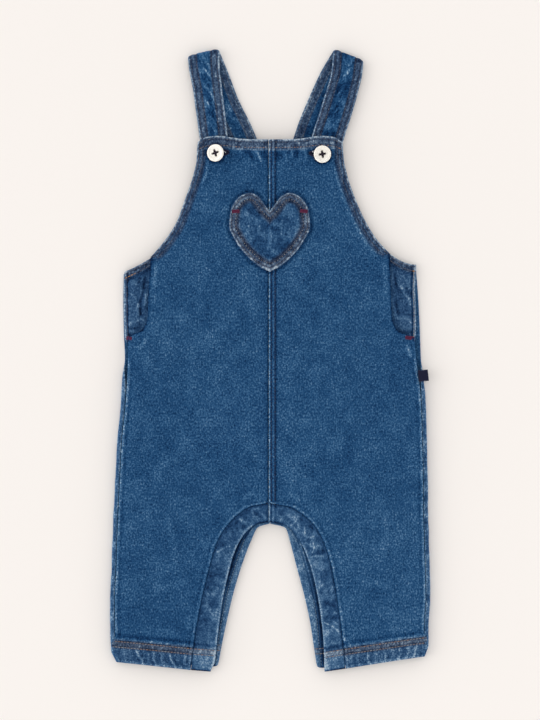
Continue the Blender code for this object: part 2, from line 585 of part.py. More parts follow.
def side_tab(name, collection, finish):
    """Folded woven tab caught in the right side seam, lying over the curled side."""
    bpy.ops.mesh.primitive_cube_add(
        size=1.0, location=(TAB_AT[0] * MM, TAB_AT[1] * MM, TAB_HEIGHT * MM),
        rotation=(0.0, 0.0, math.radians(TAB_TURN)))
    made = bpy.context.object
    made.name = name
    made.scale = (TAB_WIDE * MM, TAB_LONG * MM, TAB_THICK * MM)
    bpy.context.view_layer.update()
    bpy.ops.object.transform_apply(location=False, rotation=False, scale=True)
    for other in list(made.users_collection):
        other.objects.unlink(made)
    collection.objects.link(made)
    made.data.materials.append(finish)
    edge = made.modifiers.new("edge", "BEVEL")
    edge.width = 0.3 * MM
    edge.segments = 2
    return made


def main():
    for old in list(bpy.data.objects):
        bpy.data.objects.remove(old, do_unlink=True)
    garment = bpy.data.collections.new("dungarees")
    cutters = bpy.data.collections.new("cutters")
    for made in (garment, cutters):
        bpy.context.scene.collection.children.link(made)

    denim = srgb(44, 79, 117)
    band_denim = srgb(56, 88, 122)
    strap_denim = srgb(54, 77, 107)
    cream = srgb(235, 228, 218)
    navy = srgb(26, 34, 62)

    for side, front_table, back_table in (("left", FRONT_LEFT, BACK_LEFT),
                                          ("right", FRONT_RIGHT, BACK_RIGHT)):
        front(f"front_{side}", front_table, back_table, side == "right", garment,
              material(f"front denim {side}", denim, 0.85))
        back(f"back_{side}", back_table, garment, material(f"back denim {side}", denim, 0.85))
    for side, side_table, front_table, band_table, placket_table in (
            ("left", SIDE_LEFT, FRONT_LEFT, BAND_FRONT_LEFT, BAND_BACK_LEFT),
            ("right", SIDE_RIGHT, FRONT_RIGHT, BAND_FRONT_RIGHT, BAND_BACK_RIGHT)):
        side_piece(f"side_piece_{side}", side_table, garment,
                   material(f"side denim {side}", denim, 0.85))
        front_band(f"leg_band_front_{side}", front_table, band_table, garment,
                   material(f"front band denim {side}", band_denim, 0.85))
        back_band(f"leg_band_back_{side}", placket_table, garment,
                  material(f"back band denim {side}", band_denim, 0.85))
    strap("strap_left", STRAP_LEFT_FRONT, STRAP_LEFT_BACK, garment,
          material("strap denim left", strap_denim, 0.85))
    strap("strap_right", STRAP_RIGHT_FRONT, STRAP_RIGHT_BACK, garment,
          material("strap denim right", strap_denim, 0.85))
    heart_pocket("heart_pocket", garment, material("pocket denim", denim, 0.85))
    button("button_left", BUTTON_LEFT_AT, garment, cutters, material("button left", cream, 0.3))
    button("button_right", BUTTON_RIGHT_AT, garment, cutters,
           material("button right", cream, 0.3))
    side_tab("label_tab", garment, material("tab", navy, 0.8))


main()
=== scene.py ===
"""Looks of a baby's denim dungarees, laid flat with the front up and the bib towards +Y.

Each sewn piece is a surface worked out with numpy from the same tables of sections as the solid
that it stands for, on a finer grid: turned edges, hems, stitched channels, folds and crumpled
cloth are heights added to it.  The same heights say where washing has rubbed the indigo off.
Shade is painted into the cloth as well, beside and under edges that stand over another piece,
along the centre and arched seams, at the leg bands' hem edges, round the heart and in a ring
round each button; and painted highlights lift the shadow in the cracks at the side seams.
Tables and sizes are in millimetres, the meshes in metres.  Left and right are the viewer's.
"""
import math
from types import SimpleNamespace

import bpy
import numpy as np
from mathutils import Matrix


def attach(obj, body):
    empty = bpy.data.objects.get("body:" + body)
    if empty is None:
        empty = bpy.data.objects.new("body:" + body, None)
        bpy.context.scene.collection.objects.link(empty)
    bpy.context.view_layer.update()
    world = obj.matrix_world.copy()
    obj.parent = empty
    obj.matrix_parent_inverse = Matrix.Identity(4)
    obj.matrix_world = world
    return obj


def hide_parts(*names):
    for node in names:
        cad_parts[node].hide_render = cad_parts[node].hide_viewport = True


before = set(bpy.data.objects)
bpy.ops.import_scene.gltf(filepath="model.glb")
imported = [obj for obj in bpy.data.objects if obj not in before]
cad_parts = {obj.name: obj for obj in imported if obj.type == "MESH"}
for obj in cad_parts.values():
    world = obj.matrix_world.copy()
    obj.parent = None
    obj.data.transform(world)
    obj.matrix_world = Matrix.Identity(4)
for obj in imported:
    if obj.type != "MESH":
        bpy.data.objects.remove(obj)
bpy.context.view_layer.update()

MM = 0.001
LEFT, RIGHT = -1, 1
SIDES = {LEFT: "left", RIGHT: "right"}

# Sizes that the solids share
CLOTH = 1.2
STRAP_CLOTH = 1.6
GAP = 0.3
ARCH_GAP = 0.12             # between a front and its leg band
SIDE_CURL = 2.3             # radius of the back's roll to the front
SIDE_SEAM_IN = 3.4
SIDE_LAP = 9.0
STRAP_FOLD = 1.9
EDGE_ROLL = 12.0
HEM = 5.6
BIB_HEM = 8.4
HEM_RAISE = 0.4
BIB_WAVE = 2.9
BIB_CORNER = 3.0
FELL = 5.2
FELL_RAISE = 0.4
BIB_BRIDGE = 1.6            # how far the bib stands up between the straps
PLACKET_HEIGHT = 2.7
BUTTON = 13.8
BUTTON_THICK = 2.4
BUTTON_LIFT = 6.25

# Sewing
POCKET_CLOTH = 0.7
TAB_TAPE = 0.35
TURNED_EDGE = 0.9           # radius of a turned or folded edge
CHANNEL = 0.28              # depth of the trough that a row of stitches pulls
CHANNEL_WIDTH = 0.55
STITCH = 2.4                # from one stitch to the next
THREAD = 0.62               # width of a topstitch
STRAP_ROWS = (2.2, 6.6)     # rows of stitches, in from each edge of a strap
ARMHOLE_ROWS = (1.5, 4.7)
BIB_ROWS = (2.2, 6.7)
HEART_ROWS = (1.8, 5.2)
FELL_ROWS = (2.0, 4.9)
HEM_ROWS = {LEFT: (17.3, 13.0), RIGHT: (15.5, 11.4)}    # up from the hem's fold

# Grids
FINE = 0.6                  # of crumpled pieces
MEDIUM = 1.15               # of the fronts
COARSE = 2.6                # of the backs
ALONG_STRAP = 0.7
END_LINES = np.array([0.0, 0.22, 0.5, 0.9, 1.4])        # close to both ends of a piece
SIDE_LINES = np.array([0.0, 0.2, 0.45, 0.75, 1.1, 1.5, 2.0, 2.6, 3.3, 4.0, 4.7, 5.4, 6.1, 6.9,
                       7.8, 8.8])                       # close to both sides of a front

# Light: the sky's even part, what it adds low down, and how narrow that band is
SKY_EVEN = 0.634
SKY_LOW = 2.7
SKY_NARROW = 9.0


def both_sides(rows):
    """A table for each side, from rows of a name, left values, right values and shared ones."""
    return {side: [(name, *own[side > 0], *shared) for name, *own, shared in rows]
            for side in SIDES}


# Fronts: a row for each section from its outer edge to the centre-front or band seam.
# Columns: name, then edge x, edge y, seam x, seam y of the left and of the right one, and
# heights at the edge and the seam
FRONT = both_sides([
    ("bib top", (-57.6, 176.1, -1.3, 176.1), (58.1, 176.1, -1.0, 176.1), (5.4, 5.4)),
    ("bib hem", (-58.3, 168.3, -1.3, 168.3), (58.4, 168.3, -1.0, 168.3), (5.4, 5.5)),
    ("below button", (-58.6, 159.9, -1.3, 158.3), (59.0, 159.9, -1.0, 158.3), (5.2, 5.5)),
    ("chest", (-61.4, 147.1, -1.3, 142.3), (61.8, 147.1, -1.0, 142.3), (4.2, 5.6)),
    ("heart top", (-67.8, 128.7, -1.3, 123.1), (68.2, 128.7, -1.0, 123.1), (3.1, 5.6)),
    ("heart middle", (-75.0, 109.5, -1.3, 102.3), (77.0, 109.5, -1.0, 102.3), (3.0, 5.6)),
    ("heart point", (-85.3, 93.9, -1.3, 83.1), (86.3, 95.1, -1.0, 83.1), (3.4, 5.6)),
    ("pocket top", (-95.4, 82.0, -1.3, 63.9), (96.0, 84.6, -1.0, 63.9), (5.0, 5.6)),
    ("pocket", (-97.1, 55.9, -1.3, 43.9), (96.5, 55.9, -1.0, 43.9), (5.3, 5.6)),
    ("pocket turn", (-97.9, 34.3, -1.3, 23.9), (97.6, 34.3, -1.0, 23.9), (5.3, 5.6)),
    ("pocket curve", (-102.1, 24.3, -1.3, 11.9), (102.6, 23.1, -1.0, 11.9), (5.2, 5.6)),
    ("pocket end", (-113.2, 17.5, -1.3, -1.7), (114.7, 17.6, -1.0, -1.7), (4.6, 5.6)),
    ("waist", (-113.6, -4.9, -1.3, -22.5), (117.4, -4.9, -1.0, -22.5), (4.6, 5.6)),
    ("hip", (-115.2, -32.1, -1.3, -48.1), (121.0, -32.1, -1.0, -48.1), (4.9, 5.6)),
    ("seat", (-118.3, -64.1, -1.3, -80.1), (122.2, -64.1, -1.0, -80.1), (4.9, 5.6)),
    ("arch top", (-120.0, -96.1, -1.3, -112.9), (122.9, -96.1, -1.0, -112.9), (4.9, 5.5)),
    ("arch shoulder", (-120.9, -112.1, -16.6, -117.6), (123.1, -112.1, 15.8, -117.5), (4.9, 5.4)),
    ("arch side", (-121.7, -129.7, -32.6, -130.5), (123.4, -129.7, 30.2, -126.8), (4.9, 5.3)),
    ("thigh", (-122.4, -148.1, -42.0, -145.1), (123.7, -148.1, 40.9, -141.2), (4.9, 5.3)),
    ("knee", (-123.0, -171.3, -48.5, -166.5), (124.1, -171.3, 48.6, -164.0), (4.9, 5.3)),
    ("shin", (-124.1, -195.3, -54.9, -193.7), (124.4, -195.3, 54.2, -195.5), (4.9, 5.3)),
    ("hem top", (-123.5, -220.9, -60.3, -223.7), (123.7, -217.7, 57.8, -222.5), (4.8, 5.2)),
    ("hem edge", (-119.3, -241.4, -63.2, -247.6), (120.0, -236.8, 60.3, -246.5), (4.5, 4.9)),
])
CORNERS = ("pocket top",)   # rows where an outline turns sharply
BIB_ROW = 7.8               # from one of the first rows to the next
FRONT_POCKET_ROW, FRONT_POCKET_END, FRONT_SEAM_ROW, FRONT_ARCH_ROW, FRONT_HEM_TOP = 7, 11, 13, 15, 21

# Backs: a row for each section from the centre-back seam, and below it the inside leg, to the
# outline.  Bend curves a section like an S, and curl is 0 flat and 1 rolled to the front.
# Columns: name, then inner x, inner y, outline x, outline y of each side, and bend and curl
BACK = both_sides([
    ("top", (-0.2, 153.5, -116.9, 68.7), (0.2, 153.5, 116.6, 74.5), (1.0, 0.0)),
    ("shoulder blade", (-0.2, 115.9, -117.3, 47.9), (0.2, 115.9, 118.6, 47.9), (0.7, 0.0)),
    ("above waist", (-0.2, 78.3, -116.9, 23.9), (0.2, 78.3, 119.8, 23.9), (0.4, 0.0)),
    ("waist", (-0.2, 44.7, -116.0, 2.3), (0.2, 44.7, 120.6, 2.3), (0.1, 0.0)),
    ("side seam top", (-0.2, 17.9, -117.9, -13.7), (0.2, 17.9, 122.6, -13.7), (0.0, 0.85)),
    ("hip", (-0.2, -12.1, -118.9, -32.1), (0.2, -12.1, 124.3, -32.1), (0.0, 1.0)),
    ("seat", (-0.2, -52.1, -122.0, -64.1), (0.2, -52.1, 125.4, -64.1), (0.0, 1.0)),
    ("lower seat", (-0.2, -89.7, -123.7, -96.1), (0.2, -89.7, 126.1, -96.1), (0.0, 1.0)),
    ("crotch", (-0.2, -131.2, -125.3, -128.1), (0.2, -130.9, 126.4, -128.1), (0.0, 1.0)),
    ("crotch turn", (-9.6, -133.9, -125.6, -137.7), (12.6, -134.6, 126.8, -137.7), (0.0, 1.0)),
    ("thigh", (-15.6, -145.1, -126.1, -150.5), (16.2, -145.0, 127.1, -150.5), (0.0, 1.0)),
    ("knee", (-23.9, -167.4, -126.7, -169.7), (22.1, -167.4, 127.8, -169.7), (0.0, 1.0)),
    ("shin", (-29.9, -187.8, -127.8, -190.5), (27.6, -187.8, 128.1, -190.5), (0.0, 1.0)),
    ("calf", (-35.3, -211.2, -127.6, -216.1), (32.6, -211.2, 126.8, -211.0), (0.0, 1.0)),
    ("hem top", (-38.8, -227.7, -127.1, -230.5), (35.3, -228.8, 126.6, -226.9), (0.0, 1.0)),
    ("hem edge", (-41.9, -245.0, -123.0, -241.1), (37.9, -246.2, 123.7, -236.8), (0.0, 1.0)),
])
BACK_SEAM_ROW = 4

# Side pieces: sections from the free side edge to the edge that the front covers.
# Columns: name, then side x, side y, pocket x, pocket y, side height of each side, and the
# pocket height
SIDE = both_sides([
    ("armhole", (-116.3, 70.4, -93.9, 82.3, 2.2), (116.9, 76.2, 93.3, 87.2, 2.9), (3.6,)),
    ("upper", (-117.0, 55.9, -93.8, 58.3, 2.2), (116.1, 55.9, 93.1, 58.3, 3.0), (3.7,)),
    ("lower", (-116.9, 38.3, -94.4, 33.5, 2.2), (116.8, 38.3, 94.1, 33.5, 3.0), (3.7,)),
    ("turn", (-116.4, 23.9, -99.0, 20.3, 2.2), (116.7, 23.9, 99.0, 19.1, 3.0), (3.5,)),
    ("end", (-115.6, 14.3, -107.6, 13.5, 2.2), (115.6, 14.3, 108.8, 13.5, 3.0), (3.1,)),
])
SIDE_TOP_DIP = {LEFT: 0.6, RIGHT: 2.7}      # how far the upper edge sags in its middle
SIDE_SLANT = 0.86           # distance square to the upper edge for each mm down

# Front leg bands: the free inner edge, a row for each row of the front from its arch top down.
# Columns: name, then inner x, inner y of each side, and the height
BAND_FRONT = both_sides([
    ("centre", (-1.3, -129.2), (-1.0, -129.2), (4.7,)),
    ("shoulder", (-11.4, -131.3), (11.8, -131.8), (4.7,)),
    ("side", (-21.3, -140.4), (20.5, -139.0), (4.7,)),
    ("thigh", (-28.0, -152.9), (28.0, -152.9), (4.7,)),
    ("knee", (-33.1, -170.5), (34.6, -172.9), (4.7,)),
    ("shin", (-38.4, -196.1), (39.4, -196.9), (4.7,)),
    ("hem top", (-42.2, -225.7), (42.6, -224.1), (4.7,)),
    ("hem edge", (-44.8, -248.9), (43.6, -249.0), (4.5,)),
])

# Back plackets: the turned band on the inside leg of each back, seen from its inner side.
# Columns: name, then covered x, covered y, inner x, inner y of each side
BAND_BACK = both_sides([
    ("centre", (-0.2, -116.9, -0.2, -130.8), (0.2, -116.9, 0.2, -130.8), ()),
    ("crotch turn", (-19.0, -121.7, -9.3, -133.6), (20.2, -122.5, 12.3, -134.3), ()),
    ("thigh", (-30.0, -138.5, -15.3, -144.9), (31.4, -140.9, 15.9, -144.8), ()),
    ("knee", (-39.2, -162.5, -23.6, -167.3), (38.0, -163.3, 21.8, -167.3), ()),
    ("shin", (-45.6, -184.1, -29.6, -187.7), (43.4, -184.1, 27.3, -187.7), ()),
    ("calf", (-51.5, -208.9, -35.0, -211.1), (48.6, -208.9, 32.3, -211.1), ()),
    ("hem top", (-54.9, -226.5, -38.5, -227.6), (51.5, -228.1, 35.0, -228.8), ()),
    ("hem edge", (-57.9, -244.5, -41.6, -245.2), (54.1, -245.0, 37.6, -246.4), ()),
])
# The edge of the front band over a placket, in from the placket's edge at each of its rows
PLACKET_LINE = {LEFT: (2.4, 4.2, 6.4, 6.0, 6.0, 5.4, 4.6, 4.0),
                RIGHT: (2.4, 3.4, 7.4, 8.4, 8.0, 6.6, 5.4, 5.0)}

# Straps: sections across, from the buttoned end up to the fold, then down to the sewn end.
# Columns: name, then left x, left y, right x, right y of each strap, and its face's height
STRAP_FRONT = both_sides([
    ("buttoned end", (-52.5, 152.0, -30.9, 152.0), (28.8, 152.0, 52.0, 152.0), (3.8,)),
    ("bib top", (-56.4, 178.4, -33.8, 178.4), (33.4, 178.4, 59.6, 178.4), (3.8,)),
    ("lower", (-59.2, 198.4, -36.0, 198.4), (38.6, 194.8, 64.9, 194.8), (3.8,)),
    ("middle", (-61.6, 216.0, -38.2, 216.0), (44.6, 214.4, 70.5, 214.4), (3.8,)),
    ("upper", (-64.8, 233.0, -40.3, 235.2), (49.0, 230.4, 73.8, 228.8), (3.8,)),
    ("fold", (-65.6, 241.2, -40.6, 247.3), (50.5, 247.0, 74.7, 237.6), (3.8,)),
])
STRAP_BACK = both_sides([
    ("fold", (-65.6, 241.2, -40.6, 247.3), (50.5, 247.0, 74.7, 237.6), (0.0,)),
    ("upper", (-54.6, 220.8, -33.3, 229.4), (40.6, 230.1, 63.6, 220.2), (0.0,)),
    ("middle", (-46.7, 198.8, -25.0, 207.8), (32.9, 213.5, 55.6, 203.6), (0.0,)),
    ("bib top", (-37.4, 179.0, -15.2, 188.0), (23.5, 191.2, 46.2, 181.3), (0.0,)),
    ("before the back", (-26.8, 153.4, -4.6, 162.4), (12.8, 158.6, 34.8, 148.8), (0.0,)),
    ("over the back", (-25.1, 149.4, -2.9, 158.4), (11.2, 154.6, 33.2, 144.8), (1.5,)),
    ("sewn end", (-22.7, 138.8, -0.8, 147.6), (8.0, 146.5, 29.5, 136.5), (1.5,)),
])
STRAP_DARK = {LEFT: 0.08, RIGHT: 0.24}      # how much less a strap is rubbed

# Right half of the heart's outline, down from its notch.  Columns: name, x, y
HEART_CENTRE = (-0.3, 103.0)
HEART_REACH = 46.0          # distances to its outline are worked out this far from its centre
HEART_HEIGHT = 6.65
NOTCH_DEEP = 1.36
HEART = [
    ("notch", 0.0, 118.9),
    ("inner lobe", 4.6, 124.8),
    ("lobe rise", 9.6, 131.0),
    ("lobe top", 16.2, 133.4),
    ("lobe shoulder", 24.2, 130.2),
    ("side", 31.0, 119.2),
    ("widest", 32.2, 107.0),
    ("flank", 27.8, 96.3),
    ("lower flank", 20.2, 85.4),
    ("near point", 8.0, 74.7),
    ("point", 0.0, 70.4),
]

# Buttons: x, y, turn of the holes in degrees, tilt towards the left in degrees
BUTTONS = {LEFT: (-43.2, 165.1, 18.0, 16.0), RIGHT: (41.8, 164.2, 10.0, 0.0)}
HOLE_CIRCLE = 2.35          # from a button's middle to each of its holes
HOLE_DEEP = 1.45

# Bartacks: middle x, middle y, heights along the bar, length, depth, turn in degrees
BARTACKS = [
    (-27.4, 118.6, (7.0, 7.0), 5.6, 3.1, 4.0),
    (27.0, 118.8, (7.0, 7.0), 5.6, 3.1, -6.0),
    (111.6, 17.6, (5.15, 4.95, 4.75, 3.6), 6.6, 3.2, -6.0),
    (-112.6, 17.4, (2.55, 3.5, 4.65, 4.8), 4.0, 3.0, -8.0),
]

# Loose ends of pale thread: name, radius, points
THREAD_ENDS = [
    ("thread_end_left", 0.35, [(-36.8, 166.4, 6.4), (-36.0, 166.2, 6.9), (-35.2, 165.2, 6.5)]),
    ("thread_end_right", 0.45, [(34.9, 166.2, 6.3), (34.3, 166.5, 6.9), (33.9, 165.7, 6.5)]),
]

# Folds and creases of the fronts, as soft ridges, and troughs where the height is negative.
# Columns: name, x0, y0, x1, y1, width, height
FRONT_FOLDS = [
    ("left of button", -50.2, 156.0, -53.6, 141.0, 1.5, 0.45),
    ("left armhole", -54.4, 154.0, -57.6, 138.0, 1.3, -0.25),
    ("right of button", 53.2, 164.0, 57.6, 140.0, 1.5, 0.45),
    ("right armhole", 57.6, 150.0, 62.0, 134.0, 1.3, -0.2),
    ("left gather, outer", -34.6, 168.4, -35.6, 160.0, 1.3, 0.4),
    ("left gather", -24.6, 168.4, -23.6, 161.0, 1.6, 0.3),
    ("left gather, slanted", -12.4, 168.0, -6.6, 157.6, 1.3, 0.6),
    ("left gather, trough", -17.0, 168.0, -12.0, 158.4, 1.4, -0.3),
    ("right gather, slanted", 9.4, 168.2, 13.6, 158.0, 1.5, 0.35),
    ("right gather", 17.6, 168.4, 16.6, 160.4, 1.4, 0.4),
    ("right gather, trough", 21.6, 168.4, 23.0, 160.0, 1.6, -0.3),
    ("right gather, outer", 27.0, 168.8, 29.4, 158.8, 1.4, 0.35),
    ("left pocket edge", -92.4, 76.6, -93.6, 58.0, 2.0, 0.22),
    ("left hip", -98.0, 18.4, -106.0, 8.0, 2.2, 0.3),
    ("right pocket edge", 91.0, 76.0, 91.6, 48.0, 2.4, 0.15),
    ("right hip", 108.4, 12.4, 112.0, 1.6, 1.8, 0.5),
    ("left crotch, smudge", -23.0, -113.0, -13.8, -106.4, 2.6, 0.3),
    ("right crotch, smudge", 14.0, -106.0, 24.0, -112.0, 2.6, 0.2),
    ("left knee", -96.0, -186.0, -66.0, -178.0, 5.0, 0.35),
    ("right knee", 70.0, -176.0, 100.0, -184.0, 5.0, 0.3),
    ("right hem, slanted", 55.0, -219.0, 65.0, -229.0, 1.4, 0.45),
    ("left thigh, long", -84.0, -122.0, -76.0, -170.0, 4.0, 0.25),
    ("right thigh, long", 92.0, -118.0, 86.0, -166.0, 4.0, 0.25),
]

# Puckers below the stitching of the leg hems.  Columns: x at the stitching, x at the fold, height
HEM_PUCKERS = {
    LEFT: [(-117.0, -114.5, 0.25), (-107.6, -100.6, 0.75), (-99.0, -95.6, 0.35),
           (-93.6, -91.4, 0.7), (-86.6, -85.0, 0.4), (-81.6, -75.4, 0.75), (-74.0, -71.6, 0.3),
           (-68.6, -67.0, 0.6)],
    RIGHT: [(118.0, 114.0, 0.45), (111.4, 108.6, 0.35), (104.0, 103.4, 0.5), (98.4, 96.4, 0.3),
            (91.4, 93.0, 0.55), (84.0, 84.4, 0.4), (77.0, 79.6, 0.6), (69.4, 71.6, 0.45),
            (64.0, 65.4, 0.4)],
}

# Folds of the side pieces.  Columns as for the fronts
SIDE_FOLDS = [
    ("left, arm of the Y", -112.6, 54.4, -106.4, 46.4, 1.1, 0.5),
    ("left, leg of the Y", -102.4, 59.2, -105.6, 45.0, 1.2, 0.4),
    ("left, foot of the Y", -105.8, 46.0, -106.2, 33.4, 1.3, 0.6),
    ("left, by the seam", -99.4, 53.0, -101.0, 41.4, 1.5, 0.75),
    ("left, low", -113.8, 27.6, -106.0, 31.6, 1.5, 0.5),
    ("left, low inner", -107.0, 31.4, -99.8, 32.0, 1.5, 0.5),
    ("left, top", -111.6, 63.6, -106.0, 60.4, 1.9, 0.35),
    ("left, valley top", -98.4, 68.0, -101.2, 54.6, 1.8, -0.9),
    ("left, valley", -101.0, 55.0, -104.0, 43.4, 1.2, -0.7),
    ("left, valley foot", -103.6, 44.0, -102.6, 34.0, 1.2, -0.75),
    ("left, short valley", -102.8, 67.0, -104.8, 60.6, 1.2, -0.5),
    ("left, low valley", -112.6, 25.6, -101.6, 26.4, 1.7, -0.6),
    ("left, by the tack", -115.0, 21.0, -110.4, 20.6, 1.4, -0.4),
    ("right, slanted", 103.6, 60.0, 108.0, 52.0, 1.3, 0.55),
    ("right, slanted on", 107.4, 53.0, 113.4, 43.0, 1.1, 0.6),
    ("right, beside it", 108.6, 60.0, 112.8, 50.4, 1.5, -0.45),
    ("right, top", 103.0, 72.0, 108.0, 66.0, 2.0, 0.3),
    ("right, valley", 99.8, 71.0, 102.6, 55.0, 1.5, -0.75),
    ("right, middle valley", 100.4, 49.0, 102.8, 36.0, 1.6, -0.6),
    ("right, by the seam", 97.6, 49.0, 99.8, 34.0, 1.5, 0.45),
    ("right, end", 99.6, 33.6, 106.4, 32.0, 1.7, 0.4),
    ("right, end, outer", 104.4, 36.0, 113.4, 28.6, 1.6, 0.45),
    ("right, end valley", 100.0, 23.0, 115.4, 22.6, 2.0, -0.7),
]

# Creases of the front leg bands.  Columns as for the fronts
BAND_CREASES = [
    ("left, corner down", -14.9, -118.2, -13.1, -127.3, 0.9, 0.6),
    ("left, corner out", -13.4, -124.0, -6.9, -127.9, 0.9, 0.55),
    ("left, to the seam", -9.4, -121.0, -2.3, -127.3, 1.0, 0.6),
    ("left, cross", -25.1, -126.7, -17.7, -132.5, 1.3, 0.65),
    ("left, cross back", -22.6, -124.6, -25.1, -133.0, 1.2, 0.5),
    ("left, shoulder", -34.3, -134.2, -30.6, -141.4, 1.5, 0.65),
    ("left, shoulder inner", -29.1, -134.7, -25.5, -139.9, 1.3, 0.6),
    ("left, thigh", -43.4, -154.6, -36.8, -150.4, 1.2, 0.6),
    ("left, thigh on", -37.4, -150.6, -31.0, -148.0, 1.0, 0.5),
    ("left, below it", -42.9, -155.9, -41.7, -161.6, 1.3, 0.4),
    ("left, dark shoulder", -30.4, -128.6, -36.4, -139.0, 1.8, -0.5),
    ("left, dark arch", -20.0, -121.6, -27.0, -125.6, 2.0, -0.5),
    ("left, dark thigh", -45.0, -146.0, -40.6, -148.6, 2.4, -0.45),
    ("left, pale knee", -38.0, -174.6, -42.6, -179.6, 3.0, 0.4),
    ("left, dark knee", -53.0, -181.6, -44.4, -184.0, 2.4, -0.55),
    ("left, pale below", -50.6, -187.4, -43.6, -187.8, 2.0, 0.35),
    ("left, pale shin", -54.6, -196.0, -46.4, -198.6, 2.6, 0.3),
    ("left, dark shin", -54.0, -205.6, -46.0, -207.6, 2.4, -0.4),
    ("left, pale by the hem", -58.0, -214.0, -45.6, -219.6, 4.0, 0.3),
    ("right, patch", 11.0, -123.6, 21.1, -127.3, 1.5, 0.65),
    ("right, zigzag", 21.4, -127.6, 16.6, -132.4, 1.0, 0.55),
    ("right, zigzag on", 16.4, -131.4, 16.8, -136.6, 1.0, 0.5),
    ("right, beside the arch", 21.7, -125.0, 22.5, -134.0, 1.0, 0.45),
    ("right, shoulder", 26.9, -132.0, 27.4, -140.6, 1.1, 0.6),
    ("right, shoulder across", 26.6, -141.2, 36.4, -142.4, 1.2, 0.55),
    ("right, shoulder outer", 35.6, -138.4, 41.0, -141.8, 1.2, 0.5),
    ("right, star inner", 27.8, -146.0, 34.6, -149.8, 0.9, 0.55),
    ("right, star up", 34.2, -145.0, 35.2, -151.0, 0.9, 0.45),
    ("right, star outer", 34.4, -150.6, 40.4, -147.8, 0.9, 0.55),
    ("right, star down", 35.0, -150.0, 32.6, -155.6, 0.9, 0.5),
    ("right, thigh across", 30.0, -158.2, 45.4, -156.8, 1.1, 0.6),
    ("right, dark shoulder", 31.6, -131.6, 39.6, -136.4, 1.6, -0.5),
    ("right, dark thigh", 37.6, -152.6, 45.4, -152.0, 1.9, -0.5),
    ("right, pale thigh", 35.0, -161.0, 44.6, -168.4, 4.4, 0.4),
    ("right, pale knee", 39.6, -175.6, 41.0, -181.0, 2.2, 0.4),
    ("right, pale knee outer", 48.0, -174.6, 49.6, -185.6, 2.2, 0.45),
    ("right, dark knee", 40.0, -193.4, 53.6, -193.8, 2.4, -0.6),
    ("right, pale shin", 41.6, -198.8, 51.6, -199.2, 2.4, 0.3),
    ("right, dark shin", 42.0, -204.6, 54.0, -206.4, 2.2, -0.55),
    ("right, curved", 40.6, -209.4, 48.6, -212.2, 0.8, 0.8),
    ("right, curved on", 48.0, -211.8, 57.2, -219.6, 0.9, 0.8),
    ("right, pale by the hem", 44.6, -216.6, 54.6, -225.0, 4.4, 0.4),
]

# Slanted washing creases of the straps, in strap coordinates: distance along from the buttoned
# end and across from the left edge.  Columns: along 0, across 0, along 1, across 1, width, height
STRAP_CREASES = {
    LEFT: [(34.0, 15.0, 44.0, 9.6, 1.2, 0.5), (40.0, 17.6, 50.0, 14.0, 1.0, 0.35),
           (47.0, 12.6, 56.0, 8.6, 1.1, 0.45), (56.0, 16.0, 68.0, 9.4, 1.2, 0.55),
           (63.0, 17.0, 74.0, 11.4, 1.0, 0.4), (72.0, 16.6, 86.0, 8.0, 1.3, 0.6),
           (80.0, 17.4, 92.0, 10.4, 1.0, 0.4), (88.0, 14.6, 96.0, 8.4, 1.2, 0.45)],
    RIGHT: [(33.0, 10.0, 38.0, 15.0, 1.3, 0.45), (40.0, 13.6, 46.0, 11.0, 1.2, 0.4),
            (46.0, 9.6, 54.0, 15.6, 1.3, 0.5), (56.0, 12.0, 63.0, 15.6, 1.2, 0.45),
            (61.0, 9.4, 70.0, 13.6, 1.2, 0.55), (70.0, 14.4, 78.0, 11.0, 1.2, 0.4),
            (77.0, 10.0, 84.0, 14.4, 1.3, 0.5), (86.0, 13.4, 93.0, 16.0, 1.2, 0.45)],
}

# Blotches of the heart's middle, rubbed pale.  Columns: x0, y0, x1, y1, width, height
HEART_CREASES = [
    (-20.5, 122.0, -17.5, 115.5, 1.5, 0.35), (15.0, 126.0, 18.5, 117.0, 1.6, 0.3),
    (-22.0, 108.0, -14.0, 93.0, 1.6, 0.25), (-1.0, 107.0, 0.6, 92.0, 1.5, 0.25),
    (-6.0, 108.5, 9.0, 108.0, 2.6, 0.35), (12.0, 104.0, 17.5, 92.0, 1.4, 0.3),
    (20.0, 103.5, 24.0, 96.0, 1.3, 0.25), (4.0, 113.0, 12.0, 118.0, 2.0, 0.25),
    (-9.0, 84.0, 9.0, 86.0, 1.8, 0.2),
]


# Curves and noise

def rise(value, start, end):
    """0 before start and 1 after end, with an S-shaped rise between."""
    t = np.clip((value - start) / (end - start), 0.0, 1.0)
    return t * t * (3.0 - 2.0 * t)


def fall(value, start, end):
    """1 before start and 0 after end, with an S-shaped fall between."""
    return 1.0 - rise(value, start, end)


def hump(value, centre, width):
    """A bell that is 1 at the centre and falls as exp(-(distance / width) squared)."""
    return np.exp(-((value - centre) / width) ** 2)


def unit(vectors):
    """Vectors along the last axis, made 1 long."""
    return vectors / np.maximum(np.linalg.norm(vectors, axis=-1, keepdims=True), 1e-9)


def turn_matrix(degrees):
    """A turn in the plane, for row vectors."""
    angle = math.radians(degrees)
    return np.array([[math.cos(angle), math.sin(angle)], [-math.sin(angle), math.cos(angle)]])


